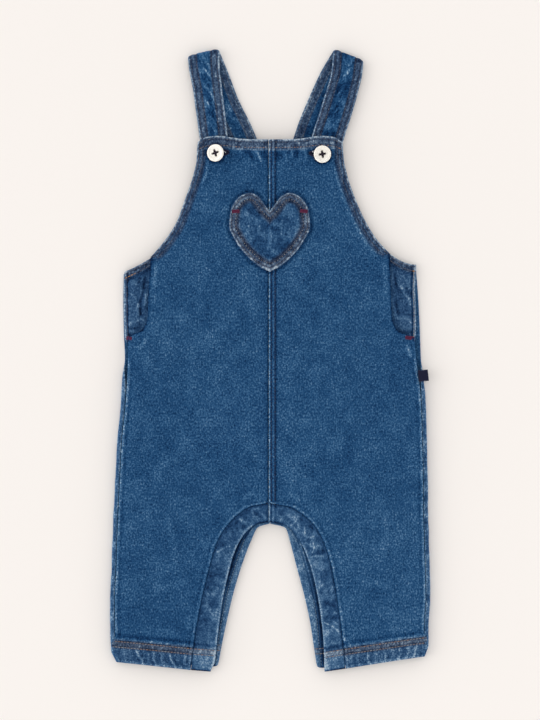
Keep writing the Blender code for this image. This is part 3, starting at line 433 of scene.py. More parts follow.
def rows_at(table, at):
    """A table's numbers at fractional rows: a cubic through the rows that never overshoots.

    It turns softly at every row apart from those named in CORNERS.
    """
    values = np.array([row[1:] for row in table], dtype=float)
    step = np.diff(values, axis=0)
    slope = np.vstack([step[:1], np.zeros((len(values) - 2, values.shape[1])), step[-1:]])
    total = step[:-1] + step[1:]
    product = step[:-1] * step[1:]
    np.divide(2.0 * product, total, out=slope[1:-1], where=product > 1e-12)
    into, out = slope.copy(), slope.copy()
    for corner in [number for number, row in enumerate(table) if row[0] in CORNERS]:
        into[corner], out[corner] = step[corner - 1], step[corner]
    row = np.clip(np.floor(at).astype(int), 0, len(values) - 2)
    t = (at - row)[..., None]
    start, end = values[row], values[row + 1]
    return ((2 * t ** 3 - 3 * t ** 2 + 1) * start + (t ** 3 - 2 * t ** 2 + t) * out[row]
            + (3 * t ** 2 - 2 * t ** 3) * end + (t ** 3 - t ** 2) * into[row + 1])


def columns_at(table, at):
    """The same numbers as upright columns, to meet the shares across a grid."""
    return rows_at(table, at).T[..., None]


def across(table, at, share):
    """Points at shares of the way between a table's two edges, row by row.

    Gives x, y, the width of each section and the table's other columns.
    """
    x0, y0, x1, y1, *others = columns_at(table, at)
    return x0 + (x1 - x0) * share, y0 + (y1 - y0) * share, np.hypot(x1 - x0, y1 - y0), *others


def run_along(path):
    """Distance along a path of points, from its first one."""
    return np.concatenate([[0.0], np.cumsum(np.linalg.norm(np.diff(path, axis=0), axis=1))])


def points_along(path, where):
    """Points of a path at distances from its first one."""
    run = run_along(path)
    return np.column_stack([np.interp(where, run, column) for column in np.asarray(path).T])


def steps(total, pitch):
    """Distances from 0 to total, pitch apart, with finer ones close to both ends."""
    near = END_LINES[-1]
    count = max(2, int(round((total - 2 * near) / pitch)) + 1)
    return np.concatenate([END_LINES[:-1], np.linspace(near, total - near, count),
                           total - END_LINES[-2::-1]])


def even_rows(table, pitch):
    """Fractional rows about pitch apart along the line midway between a table's two edges."""
    at = np.linspace(0.0, len(table) - 1.0, 60 * (len(table) - 1) + 1)
    x0, y0, x1, y1 = rows_at(table, at).T[:4]
    run = run_along(np.column_stack([x0 + x1, y0 + y1]) / 2.0)
    return np.interp(steps(run[-1], pitch), run, at)


def cell_number(i, j, seed):
    """A number from 0 to 1 for each cell of a square lattice, from the tail of a large sine."""
    value = np.sin(i * 127.1 + j * 311.7 + seed * 74.7) * 43758.5453
    return value - np.floor(value)


def mottle(x, y, size, seed):
    """Smooth noise from -1 to 1: lattice numbers size apart, joined by S-curves both ways."""
    i, j = np.floor(x / size), np.floor(y / size)
    s, t = rise(x / size - i, 0.0, 1.0), rise(y / size - j, 0.0, 1.0)
    low = cell_number(i, j, seed) * (1 - s) + cell_number(i + 1, j, seed) * s
    high = cell_number(i, j + 1, seed) * (1 - s) + cell_number(i + 1, j + 1, seed) * s
    return 2.0 * (low * (1 - t) + high * t) - 1.0


def bent(x, y, reach, size, seed):
    """Places moved by up to reach, each way by a smooth noise of its own."""
    return x + reach * mottle(x, y, size, seed), y + reach * mottle(x, y, size, seed + 1)


def crumple(x, y, size, seed):
    """Cloth crumpled in the wash: sharp little ridges, where two warped noises cross zero."""
    place = bent(x, y, 0.5 * size, 1.7 * size, seed + 11)
    wide = 1.0 - np.abs(mottle(*place, size, seed)) * 2.2
    fine = 1.0 - np.abs(mottle(*place, 0.55 * size, seed + 5)) * 2.0
    return np.maximum(wide, -0.4) * 0.65 + np.maximum(fine, -0.4) * 0.35


def patches(x, y, size, seed):
    """Blotches from -1 to 1 with soft but clear borders: an S-curve of bent noise."""
    place = bent(x, y, 0.6 * size, 0.8 * size, seed + 21)
    return 2.0 * rise(mottle(*place, size, seed), -0.45, 0.45) - 1.0


def ridges(x, y, folds):
    """Sum of soft ridges: each fades with the distance from its bowed line and near its ends."""
    height = np.zeros(np.broadcast(x, y).shape)
    for *_name, x0, y0, x1, y1, width, peak in folds:
        dx, dy = x1 - x0, y1 - y0
        length = math.hypot(dx, dy)
        along = ((x - x0) * dx + (y - y0) * dy) / length ** 2
        aside = ((x - x0) * dy - (y - y0) * dx) / length
        bow = 0.06 * length * np.sin(math.pi * np.clip(along, 0.0, 1.0)) * math.copysign(1, peak)
        height += peak * rise(along, -0.15, 0.3) * fall(along, 0.7, 1.15) * hump(aside, -bow, width)
    return height


def channels(distance, rows):
    """The troughs that rows of stitches pull into the cloth, each a bell across its row."""
    return -CHANNEL * sum(hump(distance, row, CHANNEL_WIDTH) for row in rows)


def turned(distance):
    """How far a turned edge rolls down: a quarter circle over its last stretch."""
    t = np.clip(1.0 - distance / TURNED_EDGE, 0.0, 1.0)
    return -TURNED_EDGE * (1.0 - np.sqrt(np.clip(1.0 - t * t, 0.0, 1.0)))


def edge_drop(reach):
    """1 at a piece's outer edge and 0 from EDGE_ROLL inwards, along a quarter sine."""
    return 1.0 - np.sin(np.clip(reach / EDGE_ROLL, 0.0, 1.0) * math.pi / 2)


def rub(height, near=1.7, wide=0.8):
    """How rubbed the cloth is, above 0 on ridges and below 0 in hollows: height less its blur."""
    def blur(values, reach):
        count = 2 * reach + 1
        for axis in (0, 1):
            pad = [(reach, reach) if k == axis else (0, 0) for k in range(2)]
            sums = np.cumsum(np.pad(values, pad, mode="edge"), axis=axis)
            sums = np.insert(sums, 0, 0.0, axis=axis)
            last = np.take(sums, np.arange(count, sums.shape[axis]), axis=axis)
            values = (last - np.take(sums, np.arange(sums.shape[axis] - count), axis=axis)) / count
        return values
    return near * (height - blur(height, 2)) + wide * (height - blur(height, 6))


# Making meshes

def mesh_object(name, vertices, finish, *faces):
    """An object from points in mm and arrays of faces, each array with as many corners a face."""
    mesh = bpy.data.meshes.new(name)
    mesh.from_pydata((np.asarray(vertices, float) * MM).tolist(), [],
                     [face for group in faces for face in group.tolist()])
    mesh.materials.append(finish)
    mesh.shade_smooth()
    made = bpy.data.objects.new(name, mesh)
    bpy.context.scene.collection.objects.link(made)
    return made


def piece(name, vertices, finish, *faces, replaces=None, slot=None):
    """An object that rides on the garment, with the node that it stands for, if there is one."""
    made = mesh_object(name, vertices, finish, *faces)
    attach(made, "root")
    if replaces:
        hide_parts(replaces)
    return made


def give(made, name, values, kind="FLOAT"):
    """Store a value or a vector for each vertex."""
    layer = made.data.attributes.new(name, kind, "POINT")
    layer.data.foreach_set("value" if kind == "FLOAT" else "vector",
                           np.asarray(values, np.float32).ravel())


def lay(made, looks, weave, thickness):
    """Finish a sheet of cloth: its looks at each vertex and its wall.

    looks are the wear, with its painted shade and highlights, and how much of it is sewing, and
    weave is its place on the flat cloth.
    """
    give(made, "wear_and_shade", looks[0])
    give(made, "sewn", looks[1])
    give(made, "weave", np.column_stack([weave, np.zeros(len(weave))]), "FLOAT_VECTOR")
    wall = made.modifiers.new("wall", "SOLIDIFY")
    wall.thickness = thickness * MM
    wall.offset = -1.0
    wall.use_rim = True


def grid_faces(rows, columns, closed=False):
    """Quads of a grid; a closed one joins its last column to its first."""
    index = np.arange(rows * columns).reshape(rows, columns)
    if closed:
        index = np.hstack([index, index[:, :1]])
    return np.stack([index[:-1, :-1], index[:-1, 1:], index[1:, 1:], index[1:, :-1]],
                    axis=2).reshape(-1, 4)


def fan_faces(ring, hub):
    """Triangles from a ring of vertex numbers to the one at its hub."""
    return np.column_stack([ring, np.full(len(ring), hub), np.roll(ring, -1)])


def cell_areas(points):
    """Area vectors of a grid's cells: half the cross products of their diagonals."""
    return np.cross(points[1:, 1:] - points[:-1, :-1], points[1:, :-1] - points[:-1, 1:]) / 2.0


def cloth(name, surface, finish, replaces, slot, *rests_on, thickness=CLOTH, facing=1):
    """A sheet on a grid, from its points, looks and places on the flat cloth.

    Its first rows face up where facing is 1, and down where it is -1.
    """
    points, (wear_and_shade, sewn), weave = surface
    faces = grid_faces(*points.shape[:2])
    if cell_areas(points[:12])[..., 2].sum() * facing < 0:
        faces = faces[:, ::-1]
    made = piece(name, points.reshape(-1, 3), finish, faces, replaces=replaces, slot=slot)
    lay(made, (wear_and_shade, np.broadcast_to(sewn, wear_and_shade.shape)), weave.reshape(-1, 2), thickness)


def stitch_row(path, tone, pitch=STITCH, fill=0.84):
    """Start, end and tone of each stitch along a path: fill of each pitch is thread."""
    length = run_along(path)[-1]
    count = max(1, int(length / pitch))
    pitch = length / count
    start = (np.arange(count) + (1.0 - fill) / 2.0) * pitch
    return (points_along(path, start), points_along(path, start + fill * pitch),
            np.full(count, float(tone)))


def sew(name, rows, finish, wide=THREAD, high=0.34, sink=0.10):
    """Stitches as small spindles: rings of six round each stitch's own line, arched over it."""
    start, end, tone = (np.concatenate(parts) for parts in zip(*rows))
    along = end - start
    aside = unit(np.cross([0.0, 0.0, 1.0], along))
    up = np.cross(unit(along), aside)
    share = np.array([0.0, 0.14, 0.5, 0.86, 1.0])
    girth = 0.5 * np.array([0.35, 0.9, 1.0, 0.9, 0.35])[:, None]
    arch = high * (np.sin(math.pi * share) ** 0.6) - sink
    angle = np.radians(np.arange(6) * 60.0)
    out = wide * girth * np.cos(angle)
    lift = high * girth * np.sin(angle) + 0.5 * arch[:, None]
    points = (start[:, None, None] + along[:, None, None] * share[None, :, None, None]
              + aside[:, None, None] * out[None, :, :, None]
              + up[:, None, None] * lift[None, :, :, None])
    caps = np.array([[0, 5, 4, 3], [0, 3, 2, 1], [24, 25, 26, 27], [24, 27, 28, 29]])
    number = np.arange(len(start))
    faces = np.vstack([grid_faces(5, 6, closed=True), caps])[None] + 30 * number[:, None, None]
    made = piece(name, points.reshape(-1, 3), finish, faces.reshape(-1, 4))
    uneven = cell_number(number, tone * 7.0, 3) - 0.5
    give(made, "tone", np.repeat(tone + np.minimum(0.3, 0.06 + tone) * uneven, 30))


# Materials

def linear(red, green, blue):
    """A colour in 8-bit sRGB as linear values, with alpha."""
    values = [value / 255.0 for value in (red, green, blue)]
    return [v / 12.92 if v <= 0.04045 else ((v + 0.055) / 1.055) ** 2.4 for v in values] + [1.0]


class Nodes:
    """Short calls for a material's node tree."""

    def __init__(self, name, roughness, sheen=0.0, coat=0.0):
        self.material = bpy.data.materials.new(name)
        self.material.use_nodes = True
        self.tree = self.material.node_tree
        self.shader = self.tree.nodes["Principled BSDF"]
        self.shader.inputs["Roughness"].default_value = roughness
        self.shader.inputs["Sheen Weight"].default_value = sheen
        self.shader.inputs["Coat Weight"].default_value = coat
        self.shader.inputs["Specular IOR Level"].default_value = 0.05 if coat == 0.0 else 0.5

    def put(self, kind, inputs=None, **settings):
        """A node with its settings, and its inputs as values or as sockets to link from."""
        node = self.tree.nodes.new(kind)
        for key, value in settings.items():
            setattr(node, key, value)
        for key, value in (inputs or {}).items():
            if isinstance(value, bpy.types.NodeSocket):
                self.tree.links.new(value, node.inputs[key])
            else:
                node.inputs[key].default_value = value
        return node

    def attribute(self, name, output="Fac"):
        return self.put("ShaderNodeAttribute", attribute_name=name).outputs[output]

    def place(self):
        return self.put("ShaderNodeTexCoord").outputs["Object"]

    def math(self, operation, *values):
        return self.put("ShaderNodeMath", dict(enumerate(values)), operation=operation).outputs[0]

    def varied(self, value, by, amount):
        """The value, moved up and down by amount as another goes from 0 to 1."""
        return self.math("MULTIPLY_ADD", by, amount, self.math("SUBTRACT", value, amount / 2.0))

    def noise(self, vector, scale, detail=2.0, roughness=0.5):
        return self.put("ShaderNodeTexNoise", {"Vector": vector, "Scale": scale, "Detail": detail,
                                               "Roughness": roughness}).outputs["Fac"]

    def bands(self, vector, direction, **inputs):
        inputs = {key.replace("_", " "): value for key, value in inputs.items()}
        return self.put("ShaderNodeTexWave", {"Vector": vector, **inputs},
                        wave_type="BANDS", bands_direction=direction).outputs["Fac"]

    def stretched(self, vector, scale, turn=0.0):
        return self.put("ShaderNodeMapping", {"Vector": vector, "Scale": scale,
                                              "Rotation": (0.0, 0.0, turn)}).outputs["Vector"]

    def ramp(self, factor, *stops):
        """Colour from a factor: stops are (position, 8-bit colour)."""
        node = self.put("ShaderNodeValToRGB", {"Fac": factor})
        elements = node.color_ramp.elements
        elements[0].position, elements[1].position = stops[0][0], stops[-1][0]
        elements[0].color, elements[1].color = linear(*stops[0][1]), linear(*stops[-1][1])
        for position, colour in stops[1:-1]:
            elements.new(position).color = linear(*colour)
        return node.outputs["Color"]

    def mixed(self, factor, first, second):
        return self.put("ShaderNodeMix", {0: factor, 6: first, 7: second},
                        data_type="RGBA").outputs[2]

    def finished(self, colour, height=None, strength=0.0, distance=0.0001):
        """The material with its colour and, where there is a height, its bump."""
        self.tree.links.new(colour, self.shader.inputs["Base Color"])
        if height is not None:
            bump = self.put("ShaderNodeBump", {"Height": height, "Strength": strength,
                                               "Distance": distance})
            self.tree.links.new(bump.outputs["Normal"], self.shader.inputs["Normal"])
        return self.material


def denim(name, lift=0.0, grain=1.0, grey=0.0):
    """Washed indigo denim: twill lines, slubs along the warp, speckle, blotches, rubbed ridges and
    painted shade.

    All of it reads the cloth's own flat coordinates in mm, and the rubbing, with its painted shade
    and highlights, the mesh's attribute of wear and shade.
    """
    nodes = Nodes(name, roughness=0.95)
    weave = nodes.attribute("weave", "Vector")
    speckle = nodes.noise(nodes.stretched(weave, (0.80, 0.62, 1.0)), 1.0, 1.5, 0.7)
    slub = nodes.noise(nodes.stretched(weave, (1.0, 0.16, 1.0)), 1.1, 1.0, 0.6)
    broad = nodes.noise(nodes.stretched(weave, (1.0, 0.7, 1.0)), 0.075, 2.0, 0.6)
    patch = nodes.noise(weave, 0.24, 2.0, 0.6)
    twill = nodes.bands(nodes.stretched(weave, (1.0, 1.0, 1.0), math.radians(63.0)), "X",
                        Scale=0.42, Distortion=0.6, Detail=1.0, Detail_Scale=2.0)
    value = nodes.math("MULTIPLY_ADD", speckle, 1.28 * grain, 0.5 + lift - 0.64 * grain)
    for pattern, amount in ((slub, 0.30 * grain), (broad, 0.26), (patch, 0.10), (twill, 0.06)):
        value = nodes.varied(value, pattern, amount)
    # The rubbing, with the painted shade and highlights that ride in the same attribute, darkens and
    # lightens the indigo.
    rubbed_and_shaded = nodes.math("MULTIPLY", nodes.attribute("wear_and_shade"), 0.42)
    uneven = nodes.math("MULTIPLY_ADD", speckle, 0.6, 0.70)
    value = nodes.math("MULTIPLY_ADD", rubbed_and_shaded, uneven, value)
    indigo = nodes.ramp(value, (0.0, (3, 20, 46)), (0.22, (12, 44, 81)), (0.5, (32, 73, 114)),
                        (0.74, (68, 108, 145)), (0.90, (116, 146, 174)), (1.0, (158, 179, 197)))
    greyed = nodes.ramp(value, (0.0, (16, 20, 34)), (0.25, (40, 48, 64)), (0.5, (68, 78, 96)),
                        (0.75, (104, 116, 132)), (1.0, (168, 178, 188)))
    worked = nodes.math("MAXIMUM", nodes.attribute("sewn"), grey)
    height = nodes.math("MULTIPLY_ADD", speckle, 0.8, nodes.math("MULTIPLY", twill, 0.5))
    return nodes.finished(nodes.mixed(worked, indigo, greyed), height, 0.55, 0.00025)


def thread(name):
    """Cotton thread, two plies twisted: from grey through brown to orange as the tone says."""
    nodes = Nodes(name, roughness=0.7, sheen=0.1)
    place = nodes.place()
    tone = nodes.varied(nodes.attribute("tone"), nodes.noise(place, 2500.0), 0.1)
    colour = nodes.ramp(tone, (0.0, (12, 34, 66)), (0.22, (84, 88, 102)), (0.42, (140, 142, 146)),
                        (0.6, (112, 104, 106)), (0.8, (148, 116, 96)), (1.0, (184, 132, 76)))
    plies = nodes.noise(nodes.stretched(place, (1.0, 1.0, 1.0), 0.7), 1800.0, 1.0)
    return nodes.finished(colour, plies, 0.5)


def plain_thread(name, dark, light):
    """Thread of one colour, mottled between two shades."""
    nodes = Nodes(name, roughness=0.65, sheen=0.1)
    fuzz = nodes.noise(nodes.place(), 1600.0)
    return nodes.finished(nodes.ramp(fuzz, (0.3, dark), (0.7, light)), fuzz, 0.5)


def resin(name):
    """Cream button resin: a faint cloudiness and a soft gloss."""
    nodes = Nodes(name, roughness=0.34, coat=0.25)
    place = nodes.place()
    cloud = nodes.noise(place, 420.0, 3.0)
    return nodes.finished(nodes.ramp(cloud, (0.25, (238, 231, 220)), (0.75, (250, 246, 238))),
                          nodes.noise(place, 900.0), 0.15)


def tape(name):
    """Navy woven tape: fine ribs across."""
    nodes = Nodes(name, roughness=0.8, sheen=0.15)
    ribs = nodes.bands(nodes.attribute("weave", "Vector"), "Y", Scale=0.55, Distortion=0.4)
    worn = nodes.math("MULTIPLY_ADD", nodes.attribute("wear_and_shade"), 0.3, nodes.math("MULTIPLY", ribs, 0.35))
    colour = nodes.ramp(worn, (0.0, (20, 22, 44)), (0.5, (32, 34, 60)), (1.0, (70, 74, 98)))
    return nodes.finished(colour, ribs, 0.6, 0.0002)


def paper(name):
    """Warm white floor, matt, with the faintest unevenness."""
    nodes = Nodes(name, roughness=0.95)
    tint = nodes.noise(nodes.place(), 1.5, 1.0)
    return nodes.finished(nodes.ramp(tint, (0.3, (248, 242, 237)), (0.7, (249, 243, 238))))


# Heart's outline

def heart_outline(count):
    """The heart's outline once round, evenly spaced: its right half down, then the left up."""
    half = rows_at(HEART, np.linspace(0.0, len(HEART) - 1.0, 400))
    loop = np.vstack([half, half[-2:0:-1] * [-1.0, 1.0], half[:1]]) + [HEART_CENTRE[0], 0.0]
    return points_along(loop, np.linspace(0.0, run_along(loop)[-1], count + 1)[:-1])


def heart_distance(x, y):
    """Distance from the heart's outline in mm, above 0 outside it and below 0 inside.

    Below the notch the lines of both lobes carry on, so that rows meet there in a blunt point,
    NOTCH_DEEP of a row's distance below it.  Beyond HEART_REACH from its centre it is just 99.
    """
    x, y = np.broadcast_arrays(x, y)
    found = np.full(x.shape, 99.0)
    near = np.maximum(np.abs(x - HEART_CENTRE[0]), np.abs(y - HEART_CENTRE[1])) < HEART_REACH
    px, py = x[near], y[near]
    outline = heart_outline(260)
    best, inside = np.full(px.shape, np.inf), np.zeros(px.shape, bool)
    for (ax, ay), (bx, by) in zip(outline, np.roll(outline, -1, axis=0)):
        dx, dy = bx - ax, by - ay
        t = np.clip(((px - ax) * dx + (py - ay) * dy) / (dx ** 2 + dy ** 2), 0.0, 1.0)
        best = np.minimum(best, (px - ax - t * dx) ** 2 + (py - ay - t * dy) ** 2)
        if dy:
            inside ^= ((ay > py) != (by > py)) & (px < dx * (py - ay) / dy + ax)
    best = np.sqrt(best)
    aside, down = np.abs(px - outline[0, 0]), outline[0, 1] - py
    run = unit(np.subtract(HEART[1][1:], HEART[0][1:]))
    below_notch = inside & (np.hypot(aside, down) < best + 0.08)
    best = np.where(below_notch, np.minimum(best, run[1] * aside + down / NOTCH_DEEP), best)
    tip = hump(np.hypot(aside, py - HEART[-1][2]), 0.0, 8.0)
    found[near] = np.where(inside, 0.8 * tip - best, best)
    return found


# Fronts

def bib_edge_rise(x):
    """How far the bib's top edge stands above its middle: a hump at each button, and corners."""
    away = np.abs(x)
    return BIB_WAVE * hump(away, 41.6, 14.0) - BIB_CORNER * rise(away, 51.0, 59.0)


def side_line(side, y):
    """The garment's outline beside the side seam, as x for each y."""
    line = rows_at(BACK[side], np.linspace(BACK_SEAM_ROW, len(BACK[side]) - 1.0, 200))
    return np.interp(-y, -line[:, 3], line[:, 2])


def lean_of(edge, other):
    """How squarely sections meet an edge: the sine of the angle between them, row by row."""
    run, section = unit(np.gradient(edge, axis=0)), unit(other - edge)
    return np.clip(np.abs(run[:, 0] * section[:, 1] - run[:, 1] * section[:, 0]), 0.35, 1.0)


def front_zones(side, at, share=None, from_edge=None, from_seam=None):
    """Where points of a front lie before its relief, their distances in mm and their zones.

    A point lies on the straight section between the two edges, at a share of it or at a true
    distance from one of them.  Its height rises over a quarter sine from the edge's height to
    the seam's.  Down counts the table's rows, and a zone is 1 inside it and 0 outside.
    """
    table = FRONT[side]
    x0, y0, x1, y1, z0, z1 = columns_at(table, at)
    width = np.hypot(x1 - x0, y1 - y0)
    all_rows = np.linspace(0.0, len(table) - 1.0, 12 * len(table))
    ends = np.split(rows_at(table, all_rows)[:, :4], 2, axis=1)
    lean_edge, lean_seam = (np.interp(at, all_rows, lean_of(*pair))[:, None]
                            for pair in (ends, ends[::-1]))
    if from_edge is not None:
        share = from_edge / lean_edge / width
    if from_seam is not None:
        share = 1.0 - from_seam / lean_seam / width
    down, reach = at[:, None], share * width
    in_hem_row = rise(down, FRONT_HEM_TOP - 0.02, FRONT_HEM_TOP + 0.16)
    inset = (SIDE_SEAM_IN + GAP) * (1.0 - 0.80 * in_hem_row)
    shift = side_line(side, y0) - side * inset - x0
    seamed = rise(down, FRONT_SEAM_ROW - 1.0, FRONT_SEAM_ROW)
    x = x0 + (x1 - x0) * share + seamed * shift * np.exp(-reach / 20.0)
    y = y0 + (y1 - y0) * share + bib_edge_rise(x) * fall(down, 0.0, 2.5)
    z = z1 + (z0 - z1) * edge_drop(reach) - 0.5 * in_hem_row * np.exp(-reach / 1.6)

    edge, seam, top = reach * lean_edge, (1.0 - share) * width * lean_seam, down * BIB_ROW
    fold_y = np.interp(share, [0.0, 1.0], [table[-1][2], table[-1][4]])
    hem_row = HEM_ROWS[side][0]
    stitched = fall(down, FRONT_POCKET_ROW - 0.15, FRONT_POCKET_ROW + 0.15)
    return SimpleNamespace(
        x=x, y=y, z=z, down=down, edge=edge, seam=seam, top=top, hem=y - fold_y,
        heart=heart_distance(x, y),
        stitched=stitched,
        in_armhole=stitched * fall(edge, HEM - 0.4, HEM + 1.2),
        at_top=fall(top, BIB_HEM - 0.8, BIB_HEM + 0.6),
        gathered=rise(top, 1.5, 4.0) * fall(top, 12.0, 17.0),
        above_arch=down < FRONT_ARCH_ROW + 0.3,
        beside_arch=down > FRONT_ARCH_ROW + 0.05,
        side_seam=(rise(down, FRONT_POCKET_END + 0.5, FRONT_POCKET_END + 1.1)
                   * fall(down, FRONT_HEM_TOP - 0.1, FRONT_HEM_TOP + 0.2)),
        in_hem=fall(y - fold_y, hem_row - 0.4, hem_row + 0.8),
        calm=rise(edge, 0.0, 4.0) * rise(seam, 0.0, 4.0))


def hem_puckers(side, zones):
    """Puckers of a leg hem: each leans from its place at the stitching to one at the fold."""
    hem_row, low_row = HEM_ROWS[side]
    lower = np.clip(1.0 - zones.hem / low_row, 0.0, 1.0)
    height = np.zeros(zones.hem.shape)
    for x_top, x_low, peak in HEM_PUCKERS[side]:
        line = x_top + (x_low - x_top) * lower + 0.5 * np.sin(zones.hem * 0.7 + x_top)
        below = hump(zones.x, line, 1.4) * fall(zones.hem, low_row - 3.0, low_row)
        above = hump(zones.x, x_top - 0.6, 1.2) * hump(zones.hem, hem_row + 2.0, 3.0)
        height += peak * (0.8 * below + 0.3 * above)
    return height


def front_place(side, zones):
    """Points of a front, and the relief alone: hems, channels, gathers, seams and folds."""
    x, y, edge, seam, top, hem = (zones.x, zones.y, zones.edge, zones.seam, zones.top, zones.hem)
    hem_row = HEM_ROWS[side][0]
    armhole = zones.stitched * (HEM_RAISE * fall(edge, HEM - 0.5, HEM + 0.7)
                                + channels(edge, ARMHOLE_ROWS) + 0.10 * hump(edge, HEM + 3.4, 1.3))
    bib = HEM_RAISE * zones.at_top + channels(top, BIB_ROWS)
    gathers = 0.22 * rise(edge, 6.0, 9.0) * mottle(x, y / 4.0, 3.4, 22)
    if side == RIGHT:
        centre = (FELL_RAISE * fall(seam, FELL - 0.3, FELL + 0.5) + channels(seam, FELL_ROWS)
                  - 0.15 * hump(seam, FELL + 0.6, 0.7))
    else:
        centre = -0.22 * fall(seam, 0.2, 1.7)
    relief = (np.maximum(armhole, bib) + zones.gathered * gathers + zones.above_arch * centre
              + zones.beside_arch * (0.16 * hump(seam, 1.4, 1.0) - 0.10 * hump(seam, 3.8, 1.3))
              + zones.side_seam * (0.18 * hump(edge, 1.1, 0.9) - 0.12 * hump(edge, 3.4, 1.3))
              + channels(hem, HEM_ROWS[side]) + 0.2 * zones.in_hem
              + 0.12 * hump(hem, hem_row + 1.6, 0.9) - 0.12 * hump(hem, hem_row + 4.5, 1.8)
              + hem_puckers(side, zones) + ridges(x, y, FRONT_FOLDS)
              + zones.calm * (0.18 * mottle(x, y, 17.0, 31) + 0.08 * mottle(x, y, 7.0, 32))
              - 0.22 * hump(zones.heart, 1.2, 1.3) * (zones.heart > -4.0)
              + 0.20 * mottle(x, y / 2.2, 2.2, 21) * np.maximum(zones.at_top, zones.in_armhole))
    bridge = BIB_BRIDGE * fall(np.abs(x), 20.0, 34.0) * fall(top, 2.0, 30.0)
    rolled = (turned(edge) + turned(top) + turned(hem)
              + turned(seam) * np.where(zones.above_arch, 0.6, 0.35) + bridge)
    return np.stack([x, y, zones.z + relief + rolled], axis=2), relief


def front_wear_and_shade(side, zones):
    """How rubbed, how shaded and how much sewn a front is, beyond what its relief says.

    Edges and seams are pale where they stand up and dark beside the stitching.  Their pale is
    uneven, and frayed along the turned edges.  Shade is painted in along edges that stand over
    another piece, by the centre and arched seams, round the heart and round each button, and a
    painted highlight lifts the crack at the side seam.
    """
    x, y, edge, seam, top, hem = (zones.x, zones.y, zones.edge, zones.seam, zones.top, zones.hem)
    down, stitched = zones.down, zones.stitched
    hem_row, low_row = HEM_ROWS[side]
    uneven = 1.0 + 0.7 * mottle(x, y, 2.6, 42) + 0.3 * mottle(x, y, 9.0, 43)
    frayed = 1.0 + 0.5 * mottle(x, y, 2.2, 50)
    if side == LEFT:
        pocket_dark, seam_pale, seam_fading, dark_above_hem, own = 0.4, 0.22, 0.5, 0.34, 0.0
        # Painted shade along the left front's centre seam.
        centre = -0.25 * hump(seam, 0.9, 0.9) - 0.14 * hump(seam, 2.0, 1.5)
    else:
        pocket_dark, seam_pale, seam_fading, dark_above_hem = 0.2, 0.3, 0.3, 0.14
        own = 0.34 * stitched * hump(edge, 8.0, 1.2) * uneven + 0.08 * rise(down, 15.0, 18.0)
        fell_edge = (0.2 + 0.46 * rise(top, 6.0, 9.5)) * (1.0 + 0.3 * mottle(x, y, 3.0, 45))
        # The dark at 5.1 mm, just past the fell's edge, is painted shade of the raised fell.
        centre = (fell_edge * hump(seam, 0.45, 0.5) - 0.62 * hump(seam, 2.1, 0.55)
                  - 0.36 * hump(seam, 3.5, 0.9) - 0.40 * hump(seam, 5.1, 0.6))
    armhole = (hump(edge, 0.6, 0.9) * frayed * fall(down, 6.55, 6.9)
               - 0.36 * zones.in_armhole - 0.06 * stitched * hump(edge, 6.4, 1.2))
    # Painted shade along the front's edge where it stands over the hip pocket's facing, deeper lower
    # down by pocket_dark, and a dark tick at the pocket's top corner.
    pocket_edge_shade = (0.6 + pocket_dark * rise(down, 9.0, 10.2)) * rise(down, 7.1, 7.4) * (down < 11.2)
    pocket = (0.25 * rise(down, 7.05, 7.3) * fall(down, 7.6, 8.6) * hump(edge, 4.6, 1.8)
              - 0.9 * hump(down, 7.1, 0.3) * hump(edge, 0.4, 1.5)
              - pocket_edge_shade * hump(edge, 0.2, 0.9))
    # The pale right at the edge is a painted highlight that lifts the shadow in the crack to the
    # back's roll; the ridge 1.1 mm in is rubbed pale.
    side_seam = (0.30 * hump(edge, 1.1, 1.1) + 0.25 * hump(edge, 0.0, 0.6)) * uneven
    bib = 0.95 * frayed * hump(top, 0.4, 1.1) - 0.06 * zones.at_top + 0.34 * hump(top, 8.4, 1.0)
    gathers = (0.32 * rise(edge, 6.0, 9.0) * mottle(x, y / 3.0, 2.8, 44)
               - 0.20 * rise(top, 9.0, 11.0))
    fading = 1.0 - seam_fading * rise(down, 16.4, 18.6)
    # The dark right at the arched seam's edge is painted shade of the crack to the leg band; the pale
    # line 1.5 mm in is rubbed.
    band_seam = (seam_pale * fading * hump(seam, 1.5, 0.8) * uneven - 0.5 * hump(seam, 0.0, 0.6))
    between = rise(hem, low_row - 1.8, low_row - 0.6) * fall(hem, hem_row + 0.6, hem_row + 1.8)
    leg_hem = (0.55 * hump(hem, 0.9, 1.0) - 0.12 * between
               + 0.26 * hump(hem, hem_row + 1.9, 1.1) * uneven
               - dark_above_hem * hump(hem, hem_row + 4.6, 1.6)
               + 0.16 * (hem < low_row) * mottle(x, y / 1.6, 4.0, 46))
    # Painted shade: a dark band on the front just outside the heart pocket's edge.
    heart = hump(zones.heart, 1.8, 1.3) * (zones.heart > -2.0) * uneven
    # Painted shadow: a dark ring on the front round each button, under its rim.
    button_x, button_y = BUTTONS[side][:2]
    button_shadow = hump(np.hypot(x - button_x, y - button_y), 7.3, 1.1)
    near_rows = stitched * fall(edge, HEM + 0.4, HEM + 2.6)
    sewn = np.maximum(np.maximum(0.5 * near_rows, 0.62 * zones.at_top),
                      np.maximum(0.75 * between, 0.2 * zones.in_hem))
    cloudy = (0.05 * mottle(x, y, 11.0, 47) + 0.07 * mottle(x, y, 26.0, 48)
              + 0.04 * mottle(x, y / 1.6, 4.4, 49))
    wear_and_shade = (armhole + own + zones.side_seam * side_seam + pocket + bib + zones.gathered * gathers
            + zones.beside_arch * band_seam + zones.above_arch * centre + leg_hem
            - 0.20 * heart - 0.7 * button_shadow + zones.calm * cloudy
            + 0.55 * np.maximum(sewn, 0.4 * zones.in_hem) * mottle(x, y, 1.7, 41))
    return wear_and_shade, sewn


